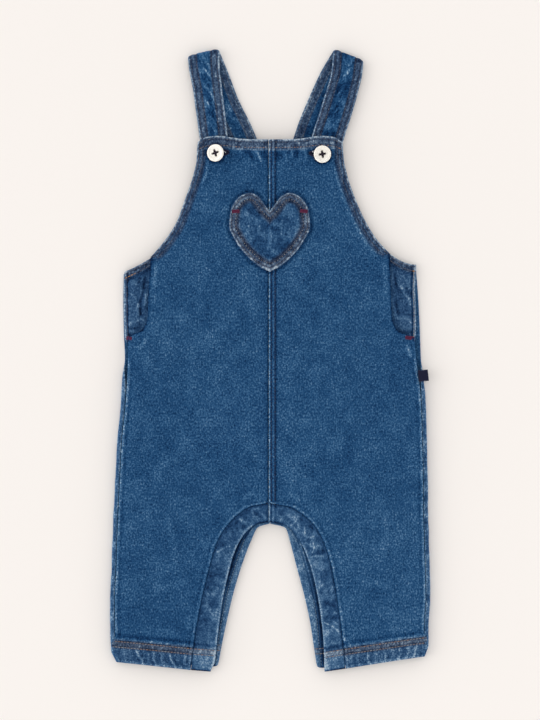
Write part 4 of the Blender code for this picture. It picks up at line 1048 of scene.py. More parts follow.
def front(side):
    """A front's surface, on a grid that is finer towards its two edges."""
    at = even_rows(FRONT[side], MEDIUM)
    x0, y0, x1, y1, *_heights = columns_at(FRONT[side], at)
    width = np.hypot(x1 - x0, y1 - y0)
    near = SIDE_LINES[-1]
    middle = near + (width - 2 * near) * np.linspace(0.0, 1.0, 74)[1:-1]
    reach = np.hstack([SIDE_LINES + 0.0 * width, middle, width - SIDE_LINES[::-1]])
    zones = front_zones(side, at, share=reach / width)
    points, relief = front_place(side, zones)
    wear_and_shade, sewn = front_wear_and_shade(side, zones)
    return points, (np.clip(rub(relief) + wear_and_shade, -1.4, 1.4), sewn), points[..., :2]


# Backs

def back(side):
    """A back's surface: flat, with a crumpled outer edge rolled round a circle to the front.

    As far as the table's curl says, the last stretch of each section follows the circle up to
    half a turn and then runs on straight.
    """
    at = even_rows(BACK[side], COARSE)
    x0, y0, x1, y1, bend, curl = columns_at(BACK[side], at)
    width = np.hypot(x1 - x0, y1 - y0)
    flat = (np.linspace(0.0, 1.0, 66)[:-1] - 1.0) * (width - SIDE_LAP - 0.1)
    lap = np.hstack([flat, np.linspace(0.0, SIDE_LAP, 25) + 0.0 * width])
    half_turn = math.pi * SIDE_CURL
    curled = curl * (half_turn + SIDE_SEAM_IN - SIDE_CURL)
    run = lap - (SIDE_LAP - curled)
    angle = np.clip(run / SIDE_CURL, 0.0, math.pi)
    out = SIDE_CURL * np.sin(angle) + np.minimum(run, 0.0) - np.maximum(run - half_turn, 0.0)
    longest = SIDE_CURL * np.sin(np.clip(curled / SIDE_CURL, 0.0, math.pi / 2))
    share = (width - longest + out) / width
    x = x0 + (x1 - x0) * share
    y = y0 + (y1 - y0) * (share + bend * (rise(share, 0.0, 1.0) - share))
    z = SIDE_CURL * (1.0 - np.cos(angle))
    lifted = rise(z, 0.4, 2.4)
    relief = lifted * (0.22 * mottle(x * 2.0, y, 6.5, 51) + 0.16 * crumple(x * 2.0, y, 8.0, 52))
    outward = np.stack([(x1 - x0) / width * np.sin(angle), (y1 - y0) / width * np.sin(angle),
                        -np.cos(angle)], axis=2)
    points = np.stack([x, y, z], axis=2) + outward * relief[..., None]
    points[..., 2] = np.maximum(points[..., 2], 0.0)
    # The pale stripe at the end of the roll, where it meets the front, is a painted highlight that
    # lifts the shadow in the crack between them.
    wear_and_shade = (rub(relief) + 0.42 * lifted * hump(z, 2.8, 1.8) + 0.3 * hump(lap, SIDE_LAP, 0.8)
            + 0.25 * lifted * mottle(x, y, 3.4, 53))
    return points, (np.clip(wear_and_shade, -1.3, 1.3), 0.15 * lifted), points[..., :2]


# Side pieces

def side_place(side, at, share):
    """Points of a side piece between its free side edge and the edge under the front.

    Gives the points, the relief, and the wear, painted shade and sewing that the relief doesn't tell.
    """
    x, y, width, side_height, pocket_height = across(SIDE[side], at, share)
    reach = share * width
    dip = SIDE_TOP_DIP[side] * 4.0 * share * (1.0 - share)
    y = y - dip * fall(at, 0.0, 0.7)[:, None]
    top_y = SIDE[side][0][2] + (SIDE[side][0][4] - SIDE[side][0][2]) * share - dip
    below = (top_y - y) * SIDE_SLANT
    calm = rise(reach, 0.4, 3.0) * rise(below, 3.0, 8.0)
    hemmed = fall(below, HEM - 0.3, HEM + 0.7)
    folds = ridges(x, y, SIDE_FOLDS)
    relief = (calm * (0.7 * folds + 0.16 * crumple(x, y, 8.0, 61 + side)
                      + 0.24 * mottle(x, y, 6.0, 64 + side))
              + 0.35 * hemmed + channels(below, ARMHOLE_ROWS)
              - 0.3 * hump(reach, 3.2, 0.7) * rise(below, 4.0, 7.0))
    # The dark within 3 mm of the edge under the front is painted shade from the front's pocket edge.
    wear_and_shade = (0.8 * hump(reach, 0.7, 1.0) + 0.75 * hump(below, 0.5, 0.8)
            - 0.6 * hump(reach, 3.0, 0.8) - 0.3 * fall(width * (1.0 - share), 1.6, 3.0)
            - 0.05 - 0.25 * hemmed - 0.3 * hump(below, HEM + 1.4, 1.4)
            - 0.35 * rise(at, 3.2, 3.9)[:, None]
            + calm * (0.42 * folds + 0.14 * patches(x, y, 6.0, 66 + side))
            + 0.8 * hemmed * mottle(x, y, 1.5, 68))
    sewn = np.clip(0.6 * hemmed + 0.4 * fall(reach, 1.6, 2.8), 0.0, 0.7)
    z = (pocket_height + (side_height - pocket_height) * edge_drop(reach) + relief
         + turned(reach) + turned(below))
    return np.stack([x, y, z], axis=2), relief, (wear_and_shade, sewn)


def side_piece(side):
    """Surface of a hip pocket's facing, crumpled between the front and the side."""
    at = even_rows(SIDE[side], FINE)
    share = np.concatenate([[0.0, 0.01, 0.024, 0.045, 0.07], np.linspace(0.1, 1.0, 36)])
    points, relief, (wear_and_shade, sewn) = side_place(side, at, share[None])
    return points, (np.clip(rub(relief, 0.9, 0.75) + wear_and_shade, -1.2, 0.9), sewn), points[..., :2]


# Leg bands

def front_band_table(side):
    """Sections of a front leg band, from the front's arched edge to the band's own free edge."""
    return [("section", *FRONT[side][FRONT_ARCH_ROW + k][3:5], *row[1:3])
            for k, row in enumerate(BAND_FRONT[side])]


def front_band_place(side, at, share):
    """Points of a front leg band: its outer edge follows the front's arched edge, a gap away.

    Gives the points, the relief, the wear with its painted shade, the sewing, and places on the flat
    band.
    """
    table = BAND_FRONT[side]
    fine = np.linspace(0.0, len(table) - 1.0, 400)
    arch = rows_at(FRONT[side], fine + FRONT_ARCH_ROW)[:, [2, 3, 5]]
    run = unit(np.gradient(arch[:, :2], axis=0))
    arch[:, :2] += ARCH_GAP * side * run[:, ::-1] * [1.0, -1.0]
    arch[:, 0] = side * np.maximum(side * arch[:, 0], side * table[0][1])
    x0, y0, z0 = (np.interp(at, fine, column)[:, None] for column in arch.T)
    x1, y1, z1 = columns_at(table, at)
    if side == LEFT:
        x1 = x1 - 2.6 * rise(at, 6.62, 7.0)[:, None]
    width = np.hypot(x1 - x0, y1 - y0)
    reach, left = share * width, (1.0 - share) * width
    x, y = x0 + (x1 - x0) * share, y0 + (y1 - y0) * share
    middle = (arch[:, :2] + rows_at(table, fine)[:, :2]) / 2
    along = np.interp(at, fine, run_along(middle))[:, None]
    *_corner, outer_y, _inner_x, inner_y = front_band_table(side)[-1]
    hem = y - (outer_y + (inner_y - outer_y) * share)
    hem_row = HEM_ROWS[side][0]
    hemmed = fall(hem, hem_row - 0.6, hem_row + 1.0)
    calm = rise(reach, 0.0, 2.6) * rise(left, 0.6, 3.0)
    crotch, centre = fall(along, 8.0, 12.0), np.abs(x - table[0][1])
    creased = calm * ridges(x, y, BAND_CREASES)
    crumpled = (0.45 * mottle(along * 0.9, reach * 0.7, 7.0, 71 + side)
                + 0.30 * (1.0 - 0.7 * hemmed) * crumple(along, reach * 0.8, 9.0, 73 + side)
                + 0.10 * mottle(x, y, 2.6, 75))
    relief = (calm * (0.2 + 0.8 * rise(along, 3.0, 10.0)) * crumpled + 0.5 * creased
              + 0.2 * hemmed + channels(hem, HEM_ROWS[side])
              - 0.2 * hump(hem, hem_row + 3.4, 1.4) + 0.10 * hump(left, 0.8, 0.7))
    if side == LEFT:
        bright = rise(along, 6.0, 18.0)
        edge = (0.15 + 0.55 * bright) * hump(left, 0.9, 0.8) - 0.12
        # Painted shade along the centre seam, as on the left front.
        seam = -0.3 * hump(centre, 0.9, 0.9)
    else:
        relief = relief + crotch * (FELL_RAISE * fall(centre, FELL - 0.3, FELL + 0.5)
                                    + channels(centre, FELL_ROWS))
        bright = rise(along, 34.0, 48.0)
        edge = (0.2 + 0.3 * bright) * hump(left, 0.6, 0.8)
        # The dark at 5.1 mm, past the fell's edge, is painted shade of the raised fell.
        seam = (0.8 * hump(centre, 0.45, 0.5) - 0.5 * hump(centre, 2.1, 0.55)
                + 0.1 * hump(centre, 3.5, 0.6) - 0.4 * hump(centre, 5.1, 0.6))
    blotches = calm * (0.20 * patches(along, reach, 5.6, 77 + side)
                       + 0.26 * mottle(along, reach, 2.6, 78))
    # Painted shadow: the band darkens just inside its outer edge, under the front's arched edge, and
    # along the bottom edge of its hem.
    wear_and_shade = (edge + 0.12 * hump(left, 2.2, 1.2) - 0.4 * (1.0 - bright) * hump(left, 0.2, 0.7)
            - 0.9 * fall(along, 12.0, 18.0) * hump(left, 0.3, 1.3)
            - 0.5 * np.exp(-reach / 1.1) + 0.16 * rise(reach, 5.0, 16.0)
            + (1.0 - hemmed) * (0.52 * creased + blotches)
            + hemmed * (0.42 + 0.3 * mottle(x, y / 2.5, 1.9, 79))
            - 0.45 * hump(hem, hem_row + 3.2, 1.2) - 1.5 * hump(hem, 0.3, 0.9) + crotch * seam)
    sewn = 0.7 * hump(hem, sum(HEM_ROWS[side]) / 2.0, 3.0)
    z = (z1 + (z0 - z1) * edge_drop(reach) + relief
         + turned(left) + turned(hem) + 0.45 * turned(reach))
    weave = np.stack(np.broadcast_arrays(along, reach), axis=2)
    return np.stack([x, y, z], axis=2), relief, (wear_and_shade, sewn), weave


def front_band(side):
    """Surface of a front leg band, cut on the bias and crumpled between seam and edge."""
    at = even_rows(front_band_table(side), FINE)
    share = np.concatenate([[0.0, 0.012, 0.03, 0.055], np.linspace(0.085, 0.915, 26),
                            [0.945, 0.97, 0.988, 1.0]])
    points, relief, (wear_and_shade, sewn), weave = front_band_place(side, at, share[None])
    wear_and_shade = np.clip(rub(relief, 1.0, 0.5) + wear_and_shade, -1.5, 1.3)
    return points, (wear_and_shade, sewn), weave @ turn_matrix(45.0)


def placket_line(side, at):
    """How far in from a placket's edge the front band's edge lies over it."""
    return np.interp(at, np.arange(len(PLACKET_LINE[side])), PLACKET_LINE[side])


def back_band_place(side, at, share):
    """Points of a back placket, flat on the back, with a stitched ridge beside the front band.

    Gives the points, the relief, the wear with its painted shade, and the sewing.  Its hem is
    reckoned from the last section given.
    """
    x, y, width = across(BAND_BACK[side], at, share)
    left = (1.0 - share) * width
    y = y + 1.8 * np.exp(-left / 1.4) * rise(at, 6.7, 7.0)[:, None]
    hem = y - across(BAND_BACK[side], at[-1:], share)[1]
    line = placket_line(side, at)[:, None]
    relief = (0.25 * hump(left, line, 0.5) - 0.2 * hump(left, line - 1.3, 0.6)
              + 0.15 * crumple(x, y, 7.0, 81 + side) * rise(left, 0.5, 2.0)
              + channels(hem, HEM_ROWS[side]))
    # Painted shadow of the front band's edge: the placket darkens just before that edge, more where
    # shows says the groove is seen, and stays darker under the band.
    shows = (rise(at, 0.6, 1.6) if side == LEFT else rise(at, 3.2, 4.4))[:, None]
    wear_and_shade = (0.34 - (0.30 + 0.65 * shows) * rise(left, line - 2.0, line - 1.0)
            - 0.4 * rise(left, line, line + 2.0) + 0.10 * hump(left, 0.5, 0.6)
            + 0.25 * mottle(x, y, 3.0, 83))
    sewn = 0.5 * hump(hem, sum(HEM_ROWS[side]) / 2.0, 3.4)
    return np.stack([x, y, PLACKET_HEIGHT + relief + turned(left)], axis=2), relief, (wear_and_shade, sewn)


def back_band(side):
    """Surface of the placket on a back's inside leg."""
    at = even_rows(BAND_BACK[side], FINE)
    share = np.concatenate([np.linspace(0.0, 0.93, 28), [0.95, 0.965, 0.98, 0.99, 1.0]])
    points, relief, (wear_and_shade, sewn) = back_band_place(side, at, share[None])
    return points, (np.clip(rub(relief, 1.3, 0.6) + wear_and_shade, -1.4, 1.3), sewn), points[..., :2]


# Straps

def strap_line(side):
    """A strap's two edges and face height, how far over its fold, its run and its way out.

    The line goes up, round the fold as half a circle, and down.
    """
    up, down = (rows_at(table[side], np.linspace(0.0, len(table[side]) - 1.0, 300))
                for table in (STRAP_FRONT, STRAP_BACK))
    turn = np.radians(np.linspace(0.0, 180.0, 41))[1:-1, None]
    left, right = up[-1, 0:2], up[-1, 2:4]
    outward = unit(np.array([left[1] - right[1], right[0] - left[0]]))
    reach = STRAP_FOLD * np.sin(turn) * outward
    fold = np.hstack([left + reach, right + reach, STRAP_FOLD * (1.0 + np.cos(turn))])
    line = np.vstack([up, fold, down])
    over = np.concatenate([np.zeros(len(up)), np.linspace(0.0, 1.0, len(fold)), np.ones(len(down))])
    run = run_along(np.column_stack([(line[:, 0:2] + line[:, 2:4]) / 2, line[:, 4]]))
    return line, over, run, outward


def strap_place(side, where, share):
    """Points of a strap at distances along it, with its relief on the face that shows.

    The back stretch shows its inner face, so there the relief turns over.  Gives the points,
    the relief, the wear and sewing, and places on the flat strap.
    """
    line, all_over, run, outward = strap_line(side)
    x0, y0, x1, y1, z = (np.interp(where, run, column)[:, None] for column in line.T)
    over = np.interp(where, run, all_over)[:, None]
    width = np.hypot(x1 - x0, y1 - y0)
    reach, left, along = share * width, (1.0 - share) * width, where[:, None] + 0.0 * share
    nearest = np.minimum(reach, left)
    in_rows = fall(nearest, 7.0, 8.2)
    relief = (ridges(along, reach, STRAP_CREASES[side]) * (along > 26.0)
              + channels(nearest, STRAP_ROWS) + 0.16 * hump(nearest, 4.4, 0.9)
              + 0.22 * mottle(along * 0.8, reach, 3.4, 91 + side)
              + 0.3 * rise(nearest, 7.0, 9.0) * crumple(along * 0.7, reach, 6.5, 93 + side))
    middle = (0.30 * patches(reach * 1.3, along, 5.6, 96 + side)
              + 0.2 * mottle(reach, along, 2.6, 97))
    inner_edge, stripe = (left, 0.16) if side == LEFT else (reach, 0.0)
    wear_and_shade = (0.85 * hump(nearest, 0.6, 0.8) + 0.08 * hump(inner_edge, 0.5, 0.6)
            - STRAP_DARK[side] + 0.15 * rise(over, 0.9, 1.0) + stripe * hump(reach, 8.4, 1.3)
            + in_rows * 0.42 * mottle(reach, along, 1.7, 95) + (1.0 - in_rows) * middle
            + 0.12 * mottle(reach, along, 9.0, 98))
    points = np.stack([x0 + (x1 - x0) * share, y0 + (y1 - y0) * share, z + 0.0 * share], axis=2)
    normal = unit(np.cross(np.gradient(points, axis=1), np.gradient(points, axis=0)))
    # Up at the first place: a row of stitches on the back stretch alone is measured upwards
    if normal[0, 0, 2] < 0:
        normal = -normal
    pinch = 1.3 * hump(nearest, 0.0, 1.4) * hump(along, np.interp(0.5, all_over, run), 4.0)
    points[..., :2] -= pinch[..., None] * outward
    show = 1.0 - 2.0 * rise(over, 0.55, 0.95)
    points = points + normal * (relief * show + turned(nearest))[..., None]
    points[..., 2] = np.maximum(points[..., 2], 0.0)
    return (points, relief * np.where(show < 0.0, -1.0, 1.0), (wear_and_shade, 0.55 * in_rows),
            np.stack([reach, along], axis=2))


def strap(side):
    """Surface of a strap: up from its buttoned end, over in a flat fold, and down again."""
    where = steps(strap_line(side)[2][-1], ALONG_STRAP)
    share = np.concatenate([[0.0, 0.008, 0.02, 0.036, 0.056], np.linspace(0.08, 0.92, 30),
                            [0.944, 0.964, 0.98, 0.992, 1.0]])
    points, relief, (wear_and_shade, sewn), weave = strap_place(side, where, share[None])
    return points, (np.clip(rub(relief, 1.3, 0.7) + wear_and_shade, -1.4, 1.5), sewn), weave


# Heart pocket

def heart_rings(count, shares):
    """Points round the heart: its outline drawn in towards the centre by each share."""
    centre = np.array(HEART_CENTRE)
    return centre + (heart_outline(count) - centre)[None] * np.asarray(shares)[:, None, None]


def heart_height(x, y, inside):
    """Height of the pocket's face: the centre seam under it, its turned hem and its creases."""
    seam_under = FELL_RAISE * rise(x, -1.8, -0.7) * fall(x, FELL - 1.4, FELL + 0.2)
    middle = (1.3 * ridges(x, y, HEART_CREASES) + 0.28 * mottle(x, y, 7.5, 101)
              + 0.22 * crumple(x, y, 8.0, 102))
    relief = (0.35 * fall(inside, 5.6, 6.6) + channels(inside, HEART_ROWS)
              + 0.08 * hump(inside, 3.5, 0.9) - 0.06 * hump(inside, 6.8, 0.8)
              + rise(inside, 5.6, 8.0) * middle + 0.14 * mottle(x, y, 3.2, 103))
    return HEART_HEIGHT + 0.7 * seam_under + relief + 0.9 * turned(inside), relief


def heart_pocket(finish):
    """Patch pocket, edge turned in, lying over the centre seam: rings closed by a fan."""
    shares = np.concatenate([[1.0, 0.994, 0.985, 0.972, 0.957], np.linspace(0.94, 0.0, 48)[:-1]])
    x, y = np.moveaxis(heart_rings(300, shares), 2, 0)
    inside = -heart_distance(x, y)
    inside[0] = 0.0
    z, relief = heart_height(x, y, inside)
    ring = fall(inside, 6.0, 7.4)
    hem = (0.5 * mottle(x, y, 1.6, 104) + 0.25 * mottle(x, y, 4.0, 105)
           - 0.05 - 0.28 * rise(inside, 2.4, 5.0))
    middle = 0.24 * patches(x, y, 6.0, 106) + 0.26 * mottle(x, y / 2.4, 2.2, 107) - 0.02
    wear_and_shade = np.clip(rub(relief, 1.1, 0.6) + 0.55 * hump(inside, 0.6, 0.8) + ring * hem
                   + (1.0 - ring) * middle - 0.1 * hump(inside, 6.4, 0.8)
                   + 0.5 * hump(y, 71.5, 3.0) * (np.abs(x) < 6.0), -1.4, 1.5)
    sewn = 0.7 * fall(inside, 6.2, 9.6)
    points = np.stack([x, y, z], axis=2)
    vertices = np.vstack([points.reshape(-1, 3), points[-1].mean(axis=0)])
    rings, count = x.shape
    last = (rings - 1) * count + np.arange(count)
    made = piece("heart_pocket_denim", vertices, finish,
                 grid_faces(rings, count, closed=True)[:, ::-1], fan_faces(last, rings * count),
                 replaces="heart_pocket", slot="pocket_denim")
    lay(made, (np.append(wear_and_shade, wear_and_shade[-1].mean()), np.append(sewn, 0.0)),
        vertices[:, :2] @ turn_matrix(4.0), POCKET_CLOTH)


# Buttons, buttonholes, thread ends and the side tab

def tilted(points, x0, tilt):
    """Points of a button turned about its line x = x0, its left side down, and lifted to clear."""
    angle = math.radians(tilt)
    x, z = points[..., 0] - x0, points[..., 2] - BUTTON_LIFT
    return np.stack([x0 + x * math.cos(angle) - z * math.sin(angle), points[..., 1],
                     BUTTON_LIFT + x * math.sin(angle) + z * math.cos(angle)
                     + 0.7 * BUTTON / 2.0 * math.sin(angle)], axis=-1)


def button(side, finish):
    """Four-hole button: a turned profile on a polar grid, with the holes sunk into its face.

    The face is dished inside a rounded rim; each hole is a pit with steep sides.
    """
    x0, y0, turn, tilt = BUTTONS[side]
    thick, face, around = BUTTON_THICK, 4.2, 120
    profile = [(0.0, thick - 0.45), (4.3, thick - 0.42), (5.0, thick - 0.22), (5.5, thick - 0.02),
               (5.9, thick), (6.3, thick - 0.10), (6.6, thick - 0.34), (6.83, thick - 0.75),
               (BUTTON / 2.0, thick - 1.15), (6.75, 0.85), (6.4, 0.4), (5.6, 0.1), (4.6, 0.0),
               (0.3, 0.0)]
    where = np.concatenate([np.linspace(0.15, face, 34),
                            np.linspace(face + 0.15, run_along(profile)[-1], 34)])
    radius, z = points_along(profile, where).T[..., None]
    angle = np.radians(np.arange(around) * 360.0 / around)
    x, y = radius * np.cos(angle), radius * np.sin(angle)
    hole = np.radians(turn + 90.0 * np.arange(4))[:, None, None]
    away = np.hypot(x - HOLE_CIRCLE * np.cos(hole), y - HOLE_CIRCLE * np.sin(hole)).min(axis=0)
    pit = HOLE_DEEP * fall(away, 0.68, 0.95) * (where < face)[:, None]
    points = tilted(np.stack([x0 + x, y0 + y, BUTTON_LIFT + z - pit], axis=2), x0, tilt)
    vertices = np.vstack([points.reshape(-1, 3), points[0].mean(axis=0), points[-1].mean(axis=0)])
    first, hub = np.arange(around), points[..., 0].size
    name = f"button_{SIDES[side]}"
    piece(name + "_resin", vertices, finish,
          grid_faces(len(where), around, closed=True)[:, [0, 3, 2, 1]], fan_faces(first, hub)[:, ::-1],
          fan_faces(first + hub - around, hub + 1), replaces=name, slot="button_cream")


def tubes(name, paths, radii, finish, sides=8):
    """Tubes along paths with as many points each, their rings square to the path."""
    paths = np.asarray(paths, float)
    run = unit(np.gradient(paths, axis=1))
    helper = np.where(np.abs(run[..., 2:]) > 0.9, [1.0, 0.0, 0.0], [0.0, 0.0, 1.0])
    one = unit(np.cross(helper, run))
    two = np.cross(run, one)
    angle = np.linspace(0.0, 2.0 * math.pi, sides + 1)[:-1, None]
    radii = np.broadcast_to(radii, paths.shape[1])[:, None, None]
    rings = paths[:, :, None] + radii * (one[:, :, None] * np.cos(angle)
                                         + two[:, :, None] * np.sin(angle))
    first = np.arange(len(paths))[:, None, None] * paths.shape[1] * sides
    faces = grid_faces(paths.shape[1], sides, closed=True) + first
    piece(name, rings.reshape(-1, 3), finish, faces.reshape(-1, 4))


def button_thread(side, finish):
    """The cross of thread over a button: bundles of strands that dip into the holes."""
    x0, y0, turn, tilt = BUTTONS[side]
    t = np.linspace(-1.0, 1.0, 15)
    paths = []
    for arm in range(2):
        high = BUTTON_LIFT + BUTTON_THICK - 0.55 + 0.14 * arm - 1.1 * np.abs(t) ** 6
        for strand in (-0.58, 0.0, 0.58):
            flat = np.column_stack([2.45 * t, strand * (1.0 - 0.25 * t * t)])
            flat = flat @ turn_matrix(turn + 90.0 * arm) + [x0, y0]
            paths.append(tilted(np.column_stack([flat, high]), x0, tilt))
    tubes(f"button_{SIDES[side]}_thread", paths, 0.42 * np.sqrt(np.clip(1.02 - t ** 8, 0.02, 1.0)),
          finish)


def buttonhole(side, finish):
    """The inner end of a buttonhole, past the button: a ring of close thread round a slit."""
    x0, y0 = BUTTONS[side][:2]
    t = np.linspace(0.0, 2.0 * math.pi, 49)[:-1]
    flat = np.column_stack([6.0 * np.cos(t), 1.6 * np.sign(np.sin(t)) * np.abs(np.sin(t)) ** 0.7])
    flat = flat @ turn_matrix(-8.0 * side) + [x0 - 4.0 * side, y0]
    tubes(f"button_{SIDES[side]}_hole", [np.column_stack([flat, np.full(len(t), 6.0)])], 0.85, finish)


def thread_end(name, points, radius, finish):
    """A short loose end of thread along a few points, thinner at both ends."""
    path = points_along(points, np.linspace(0.0, run_along(points)[-1], 14))
    taper = np.sqrt(np.clip(np.sin(np.linspace(0.12, math.pi - 0.12, 14)), 0.05, 1.0))
    tubes(name, [path], radius * taper, finish)


def side_tab():
    """Surface of a folded tape caught in the side seam: over, round its outer fold and under."""
    wide, long, fold = 8.4, 9.0, 0.5
    centre, turn, middle_height = (122.2, -12.5), 6.0, 5.7
    flat = wide - 2.0 * fold
    run = np.linspace(0.0, 2.0 * flat + math.pi * fold, 61)
    bend = np.clip((run - flat) / fold, 0.0, math.pi)
    out = (np.minimum(run, flat) - flat / 2 + fold * np.sin(bend)
           - np.maximum(run - flat - math.pi * fold, 0.0))
    x, y = np.meshgrid(out, np.linspace(-long / 2, long / 2, 31), indexing="ij")
    bend = bend[:, None]
    z = middle_height + fold * np.cos(bend) + 0.12 * mottle(x, y, 3.0, 111) * np.cos(bend)
    weave = np.stack([x, y], axis=2)
    wear_and_shade = 0.7 * hump(long / 2 - np.abs(y), 0.2, 0.35) + 0.6 * hump(bend, math.pi / 2, 0.8)
    return np.dstack([weave @ turn_matrix(turn) + centre, z]), (wear_and_shade, 0.0), weave


# Sewing

def hem_row_at(table, share, up):
    """Fractional rows at which a hem's stitching lies up above its fold, for shares across."""
    rows = rows_at(table, np.array([len(table) - 2.0, len(table) - 1.0]))
    depth = np.interp(share, [0.0, 1.0], (rows[0] - rows[1])[[1, 3]])
    return len(table) - 1.0 - up / depth


def front_row(side, tone, at, **where):
    """A row of stitches over a front."""
    points, _relief = front_place(side, front_zones(side, at, **where))
    return stitch_row(points[:, 0], tone)


def front_rows(side):
    """The stitching on a front: armhole, bib, leg hem and, on the right one, the centre seam."""
    down = np.linspace(0.12, FRONT_POCKET_ROW - 0.02, 500)
    rows = [front_row(side, tone, down, from_edge=row)
            for row, tone in zip(ARMHOLE_ROWS, (0.18, 0.12))]
    share = np.linspace(0.03, 0.995, 240)
    rows += [front_row(side, tone, np.full(len(share), row / BIB_ROW), share=share[:, None])
             for row, tone in zip(BIB_ROWS, (0.18, 0.66))]
    if side == RIGHT:
        down = np.linspace(0.05, FRONT_ARCH_ROW, 900)
        rows += [front_row(side, 0.03, down, from_seam=row) for row in FELL_ROWS]
    share = np.linspace(0.003, 0.99, 200)
    rows += [front_row(side, tone, hem_row_at(FRONT[side], share, row), share=share[:, None])
             for row, tone in zip(HEM_ROWS[side], (0.64, 0.56))]
    return rows


def strap_rows(side):
    """Two rows of stitches along each edge of a strap, on the face that shows."""
    rows = []
    line, over, run, _outward = strap_line(side)
    fold_start, fold_end = run[np.argmax(over > 0)], run[np.argmax(over >= 1.0)]
    for first, last, lift, tone in ((20.0, fold_start + 1.5, 0.0, 0.15),
                                    (fold_end, fold_end + 78.0, STRAP_CLOTH - 0.1, 0.10)):
        where = np.linspace(first, last, 300)
        x0, y0, x1, y1 = (np.interp(where, run, column) for column in line.T[:4])
        for row in STRAP_ROWS:
            share = row / np.hypot(x1 - x0, y1 - y0)
            for share in (share, 1.0 - share):
                points, *_others = strap_place(side, where, share[:, None] + [[0.0, 0.02]])
                rows.append(stitch_row(points[:, 0] + [0.0, 0.0, lift], tone))
    return rows


def band_rows(side):
    """The leg hem's stitching across the front band and the back placket."""
    share = np.linspace(0.03, 0.94, 60)
    rows = []
    for row, tone in zip(HEM_ROWS[side], (0.64, 0.60)):
        at = hem_row_at(front_band_table(side), share, row)
        rows.append(stitch_row(front_band_place(side, at, share[:, None])[0][:, 0], tone))
    share = np.linspace(0.45, 0.97, 40)
    for row in HEM_ROWS[side]:
        at = hem_row_at(BAND_BACK[side], share, row)
        rows.append(stitch_row(back_band_place(side, at, share[:, None])[0][:, 0], 0.58))
    return rows


def placket_rows(side):
    """The row that shows on a back placket, just outside the front band's edge."""
    at = np.linspace(2.0 if side == LEFT else 4.2, 6.9, 240)
    width = across(BAND_BACK[side], at, 0.0)[2]
    share = 1.0 - (placket_line(side, at) - 1.2)[:, None] / width
    return [stitch_row(back_band_place(side, at, share)[0][:, 0], 0.5)]


def side_rows(side):
    """The armhole's stitching over the side piece, and a row down its free edge."""
    inner, outer = ARMHOLE_ROWS
    share = np.linspace(0.03, 0.97, 60)
    top, half_row = rows_at(SIDE[side], np.array([0.0, 0.5]))
    slope = np.interp(share, [0.0, 1.0], (2.0 * (top - half_row))[[1, 3]])
    upper, lower = (side_place(side, row / SIDE_SLANT / slope, share[:, None])[0][:, 0]
                    for row in (inner, outer))
    bright = 26 if side == LEFT else 7
    at = np.linspace(0.3, 3.9, 200)
    width = across(SIDE[side], at, 0.0)[2]
    inset, edge_tone = (2.6, 0.12) if side == LEFT else (1.7, 0.42)
    edge = side_place(side, at, inset / width)[0][:, 0]
    return [stitch_row(upper, 0.18), stitch_row(lower[:bright], 0.95),
            stitch_row(lower[bright - 1:], 0.16), stitch_row(edge, edge_tone)]


def heart_rows():
    """Rows round the heart at even distances inside its outline; the inner one has two threads."""
    flat = heart_rings(420, np.linspace(1.0, 0.3, 160))
    inside = -heart_distance(flat[..., 0], flat[..., 1])
    rows = []
    for row, tone, fill in ((HEART_ROWS[0], 0.2, 0.84), (HEART_ROWS[1] - 0.4, 0.5, 0.3),
                            (HEART_ROWS[1] + 0.5, 0.1, 0.84)):
        path = flat[np.argmax(inside > row, axis=0), np.arange(flat.shape[1])]
        path = np.vstack([path, path[:1]])
        z, _relief = heart_height(path[:, 0], path[:, 1], np.full(len(path), row))
        rows.append(stitch_row(np.column_stack([path, z]), tone, fill=fill))
    return rows


def bartack(x, y, heights, long, deep, turn):
    """Close stitches side by side across a short bar, at heights given evenly along it."""
    count = max(4, int(long / 0.42))
    heights = np.interp(np.linspace(0.0, len(heights) - 1.0, count), np.arange(len(heights)), heights)
    rows = []
    for place, height in zip(np.linspace(-0.5, 0.5, count) * long, heights):
        ends = np.array([[place, -deep / 2], [place, deep / 2]]) @ turn_matrix(turn) + [x, y]
        rows.append(stitch_row(np.column_stack([ends, [height] * 2]), 0.5, pitch=deep, fill=1.0))
    return rows


# The stage

def floor(finish):
    """A square sheet of paper just under the garment."""
    half, low = 1500.0, -0.12
    corners = [[-half, -half, low], [half, -half, low], [half, half, low], [-half, half, low]]
    mesh_object("floor", corners, finish, np.array([[0, 1, 2, 3]]))


